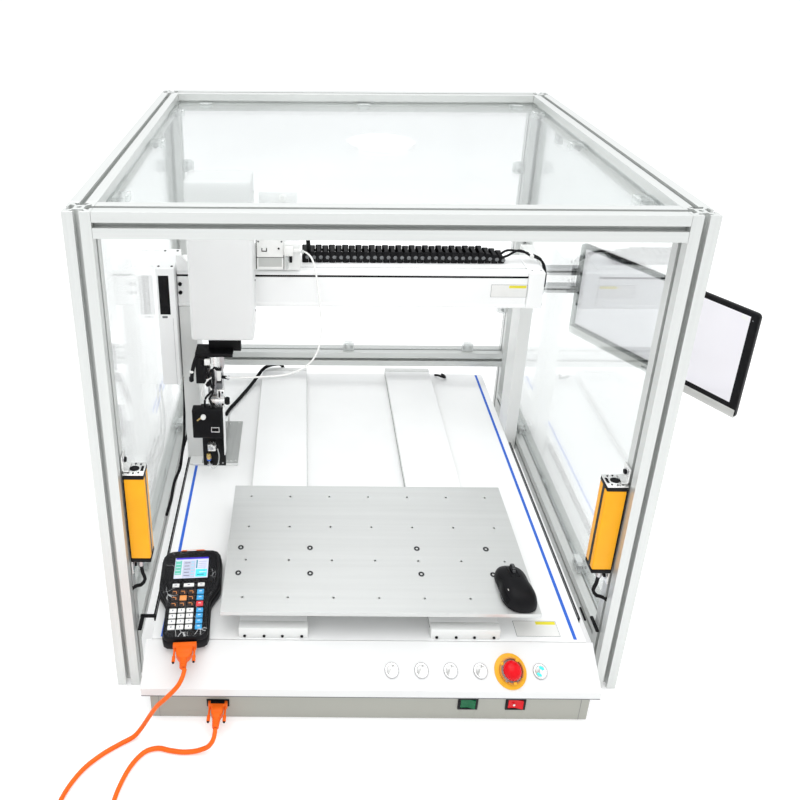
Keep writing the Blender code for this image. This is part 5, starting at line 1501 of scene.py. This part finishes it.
def make_monitor_screen(local):
    width, depth, height = MONITOR_SIZE
    chin = MONITOR_CHIN
    front = -depth / 2
    glass = Piece("monitor_screen")
    bezel = 0.0165
    glass_height = height - chin - 2 * 0.0110
    middle = chin / 2 + 0.0005
    glass.add(brick((width - 2 * bezel, 0.0012, glass_height), 0.0002, 1), "screen",
              local @ place(0, front + 0.0002, middle))
    glass.add(brick((0.0140, 0.0006, 0.0100), 0.0002, 1), "label_white",
              local @ place(width / 2 - bezel - 0.0110, front - 0.0006, middle + glass_height / 2 - 0.0065))
    glass.done("monitor")


def make_monitor_bar_slots():
    bars = Piece("monitor_bar_slots")
    bracket_low, bracket_high = span("monitor_bracket")
    y = bracket_high.y - 0.0005
    bar_front = 0.790
    for z in (0.460, 0.410):
        bars.box((bracket_low.x + 0.010, bar_front - 0.0003, z - 0.0028),
                 (bracket_high.x - 0.006, bar_front + 0.0006, z + 0.0028), "black_metal", 0.0002, 1)
        bars.box((bracket_low.x + 0.010, y + 0.0002, z - 0.0028),
                 (bracket_high.x - 0.006, y + 0.0008, z + 0.0028), "black_metal", 0.0002, 1)
    for z in (0.478, 0.435, 0.392):
        bars.screw((bracket_low.x + 0.006, 0.7880, z), (1, 0, 0), 0.0048, "black_metal")
    bars.done("root")


# Mouse -----------------------------------------------------------------------------------------

MOUSE_LEAN = 0.10


def mouse_skin(rise=0.0, ahead=-1.0, behind=1.0, left=-1.0, right=1.0):
    """A palm-shaped shell, or a patch of it between places along and across it, raised a little."""
    low, high = span("mouse_shell")
    half_length = (high.y - low.y) / 2
    half_width = (high.x - low.x) / 2 - 0.004
    height = high.z - low.z - 0.002
    rows, columns = 44, 36
    shape = bmesh.new()
    grid = []
    for i in range(1, rows):
        s = -math.cos(math.pi * i / rows)
        end = (1 - abs(s) ** 3.4) ** (1 / 2.3)
        waist = 1.0 - 0.09 * math.exp(-((s - 0.10) / 0.32) ** 2)
        wide = half_width * end * waist * (1.03 - 0.05 * s)
        tall = height * (0.60 + 0.40 * math.cos((s + 0.22) * 1.25)) * (1 - abs(s) ** 6) ** 0.5
        around = []
        for j in range(columns):
            angle = math.tau * j / columns
            c, v = math.cos(angle), math.sin(angle)
            x = wide * math.copysign(abs(c) ** 0.70, c)
            z = tall * abs(v) ** 0.80 if v >= 0 else 0.0
            if v < 0:
                x *= 0.94
            swell = 1.0 + rise / half_width
            spot = (x * swell - MOUSE_LEAN * s * half_length, s * half_length, max(z, 0.0006) + rise)
            around.append(shape.verts.new(spot))
        grid.append((s, around))
    for (s0, first), (s1, second) in zip(grid, grid[1:]):
        for j in range(columns):
            k = (j + 1) % columns
            across = math.cos(math.tau * (j + 0.5) / columns)
            top = math.sin(math.tau * (j + 0.5) / columns) > 0
            whole = (ahead, behind, left, right) == (-1.0, 1.0, -1.0, 1.0)
            inside = ahead <= (s0 + s1) / 2 <= behind and left <= across <= right and top
            if whole or inside:
                shape.faces.new((first[j], second[j], second[k], first[k]))
    if (ahead, behind) == (-1.0, 1.0):
        shape.faces.new(grid[0][1])
        shape.faces.new(grid[-1][1][::-1])
    bmesh.ops.delete(shape, geom=[v for v in shape.verts if not v.link_faces], context="VERTS")
    bmesh.ops.recalc_face_normals(shape, faces=shape.faces)
    return shape


def make_mouse():
    low, high = span("mouse_shell")
    centre = place((low.x + high.x) / 2, (low.y + high.y) / 2, low.z)
    piece = Piece("mouse_body")
    piece.add(mouse_skin(), "mouse_black", centre)
    piece.add(mouse_skin(0.0005, -0.75, 0.62, -0.995, -0.80), "black_gloss", centre)
    piece.add(mouse_skin(0.0004, 0.10, 0.93, -0.14, 0.14), "black_gloss", centre)
    lean = centre @ Matrix.Rotation(math.atan(MOUSE_LEAN), 4, "Z")
    piece.add(brick((0.0008, 0.0380, 0.0010), 0.0003, 1), "grey_plastic",
              lean @ place(-0.0302, -0.006, 0.0060))
    piece.add(brick((0.0016, 0.0040, 0.0010), 0.0004, 1), "silver_plastic",
              lean @ place(-0.0215, -0.020, 0.0262))
    piece.done("y_table", replaces=["mouse_shell"], angle=60)
    wheel_low, wheel_high = span("mouse_wheel")
    axle = (wheel_low + wheel_high) / 2
    radius = (wheel_high.z - wheel_low.z) / 2
    wheel = Piece("mouse_wheel_tyre")
    side = Matrix.Translation(axle) @ Matrix.Rotation(math.pi / 2, 4, "Y")
    wheel.add(rod(radius - 0.0006, 0.0070, 36, 0.0012), "black_rubber", side)
    for k in range(24):
        spot = side @ Matrix.Rotation(math.tau * k / 24, 4, "Z") @ place(radius - 0.0008, 0, 0)
        wheel.add(brick((0.0014, 0.0010, 0.0052), 0.0003, 1), "grey_plastic", spot)
    wheel.done("mouse_wheel", replaces=["mouse_wheel"])


make_clips()
for curtain in ("left", "right"):
    make_curtain_housing(curtain)
    make_curtain_lead(curtain)
    make_curtain_brackets(curtain)
make_base_trim()
make_y_modules()
make_plate_screws()
make_foot_plate()
make_buttons()
make_stop_button()
make_front_strip()
CORD_HOODS = make_pendant()
make_chain()
make_beam()
make_drive_housing()
make_z_cover()
make_valve_block()
make_feed_tube()
make_head_carrier()
make_head_bracket()
make_head_wiring()
make_iron_clamp()
make_wire_feeder()
make_feed_nozzle()
make_iron_sleeve()
make_base_cables()
make_monitor()
make_mouse()


# Controller cord -------------------------------------------------------------------------------

CORD_DIAMETER = 0.0075
COIL_CENTRE = Vector((-0.455, -0.274, 0))
COIL_OUTER = 0.0450
CORD_FLOOR = 0.0040
COIL_TURNS = 3.5
PORT_ROUTE = [
    (-0.2610, -0.1043, 0.0350),
    (-0.2610, -0.1120, 0.0348),
    (-0.2635, -0.1185, 0.0290),
    (-0.2705, -0.1210, 0.0190),
    (-0.2797, -0.1200, 0.0110),
    (-0.2944, -0.1205, 0.0055),
    (-0.3138, -0.1210, 0.0040),
    (-0.3356, -0.1187, 0.0040),
    (-0.3565, -0.1150, 0.0040),
    (-0.3780, -0.1220, 0.0040),
    (-0.3960, -0.1450, 0.0040),
    (-0.4075, -0.1780, 0.0040),
    (-0.4120, -0.2100, 0.0040),
    (-0.4125, -0.2420, 0.0040),
]
PENDANT_ROUTE = [
    (-0.3115, -0.0722, 0.1350),
    (-0.3125, -0.0830, 0.1340),
    (-0.3180, -0.0940, 0.1280),
    (-0.3290, -0.0970, 0.1140),
    (-0.3425, -0.0963, 0.0960),
    (-0.3572, -0.0940, 0.0760),
    (-0.3711, -0.0915, 0.0500),
    (-0.3860, -0.0918, 0.0220),
    (-0.4000, -0.0980, 0.0070),
    (-0.4200, -0.1080, 0.0040),
    (-0.4470, -0.1260, 0.0040),
    (-0.4720, -0.1500, 0.0040),
    (-0.4890, -0.1800, 0.0040),
    (-0.4965, -0.2100, 0.0050),
    (-0.4980, -0.2420, 0.0085),
]


def eased(value, start, end):
    share = min(1.0, max(0.0, (value - start) / (end - start)))
    return share * share * (3 - 2 * share)


def coil_points():
    """Turns wound outer and inner on the table, then inner and outer on top of those."""
    points = []
    steps = round(COIL_TURNS * 24)
    for i in range(steps + 1):
        turned = 360 * COIL_TURNS * i / steps
        inward = eased(turned, 285, 350) - eased(turned, 900, 960)
        radius = COIL_OUTER - CORD_DIAMETER * inward
        height = CORD_FLOOR + CORD_DIAMETER * eased(turned, 590, 655)
        angle = -math.radians(turned)
        points.append(COIL_CENTRE + Vector((radius * math.cos(angle), radius * math.sin(angle), height)))
    return points


def make_cord():
    knots = [Vector(p) for p in PORT_ROUTE] + coil_points() + [Vector(p) for p in PENDANT_ROUTE[::-1]]
    points = smooth_route(knots, CORD_DIAMETER * 0.8)
    curve = bpy.data.curves.new("controller_cord", "CURVE")
    curve.dimensions = "3D"
    curve.bevel_depth = CORD_DIAMETER / 2
    curve.bevel_resolution = 4
    curve.use_fill_caps = True
    curve.materials.append(MATERIALS["orange_rubber"])
    spline = curve.splines.new("POLY")
    spline.points.add(len(points) - 1)
    for point, where in zip(spline.points, points):
        point.co = (*where, 1)
    spline.use_smooth = True
    cord = bpy.data.objects.new("controller_cord", curve)
    bpy.context.scene.collection.objects.link(cord)
    cord.location = ORIGIN
    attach(cord, "root")
    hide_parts("cord_port_side", "cord_pendant_side", "cord_coil")
    return points


make_cord()


# Stage: floor, light and camera ----------------------------------------------------------------

CAMERA_PLACE = Vector((-0.1198, -0.9559, 1.2820))
CAMERA_YAW = math.radians(-0.150)
CAMERA_PITCH = math.radians(21.849)
CAMERA_ROLL = math.radians(0.315)
CAMERA_LENS = 33.89
CAMERA_SHIFT = (0.1234, -0.2178)
FLOOR_HALF = 60.0


def make_floor():
    floor_finish = surface("floor", (0.82, 0.82, 0.82), 0.7, variation=0.01, cloud=0.6, grain=60.0,
                           relief=0.01,
                           Emission_Color=(1.0, 1.0, 1.0, 1.0), Emission_Strength=0.26)
    shape = bmesh.new()
    bmesh.ops.create_grid(shape, x_segments=12, y_segments=12, size=FLOOR_HALF)
    mesh = bpy.data.meshes.new("floor")
    shape.to_mesh(mesh)
    shape.free()
    mesh.materials.append(floor_finish)
    floor = bpy.data.objects.new("floor", mesh)
    floor.location.z = -0.0005
    bpy.context.scene.collection.objects.link(floor)


def make_light(name, where, target, size, power, tint=(1, 1, 1)):
    light = bpy.data.lights.new(name, "AREA")
    light.shape = "RECTANGLE"
    light.size, light.size_y = size
    light.energy = power
    light.color = tint
    lamp = bpy.data.objects.new(name, light)
    lamp.location = where
    lamp.rotation_euler = (Vector(target) - Vector(where)).to_track_quat("-Z", "Y").to_euler()
    bpy.context.scene.collection.objects.link(lamp)


def make_world():
    world = bpy.data.worlds.new("studio")
    world.use_nodes = True
    background = world.node_tree.nodes["Background"]
    background.inputs["Color"].default_value = (0.97, 0.985, 1.0, 1.0)
    background.inputs["Strength"].default_value = 0.95
    bpy.context.scene.world = world
    bpy.context.scene.view_settings.view_transform = "Standard"
    bpy.context.scene.view_settings.look = "None"


def make_camera():
    turn = math.cos(CAMERA_YAW), math.sin(CAMERA_YAW)
    tilt = math.cos(CAMERA_PITCH), math.sin(CAMERA_PITCH)
    forward = Vector((turn[1] * tilt[0], turn[0] * tilt[0], -tilt[1]))
    right = Vector((turn[0], -turn[1], 0))
    up = right.cross(forward)
    rolled_right = right * math.cos(CAMERA_ROLL) + up * math.sin(CAMERA_ROLL)
    rolled_up = up * math.cos(CAMERA_ROLL) - right * math.sin(CAMERA_ROLL)
    camera = bpy.data.objects.new("camera", bpy.data.cameras.new("camera"))
    camera.data.sensor_width = 36.0
    camera.data.lens = CAMERA_LENS
    camera.data.shift_x, camera.data.shift_y = CAMERA_SHIFT
    axes = Matrix((rolled_right, rolled_up, -forward)).transposed().to_4x4()
    camera.matrix_world = Matrix.Translation(ORIGIN + CAMERA_PLACE) @ axes
    bpy.context.scene.collection.objects.link(camera)
    bpy.context.scene.camera = camera


make_floor()
make_world()
make_light("overhead", (-0.3, -0.3, 3.2), (0, 0.1, 0.4), (3.4, 3.0), 78)
make_light("front", (-2.2, -3.0, 2.4), (0, 0, 0.4), (2.4, 2.0), 8)
make_light("right", (3.4, -0.6, 2.2), (0, 0.2, 0.4), (1.8, 2.2), 10)
make_camera()
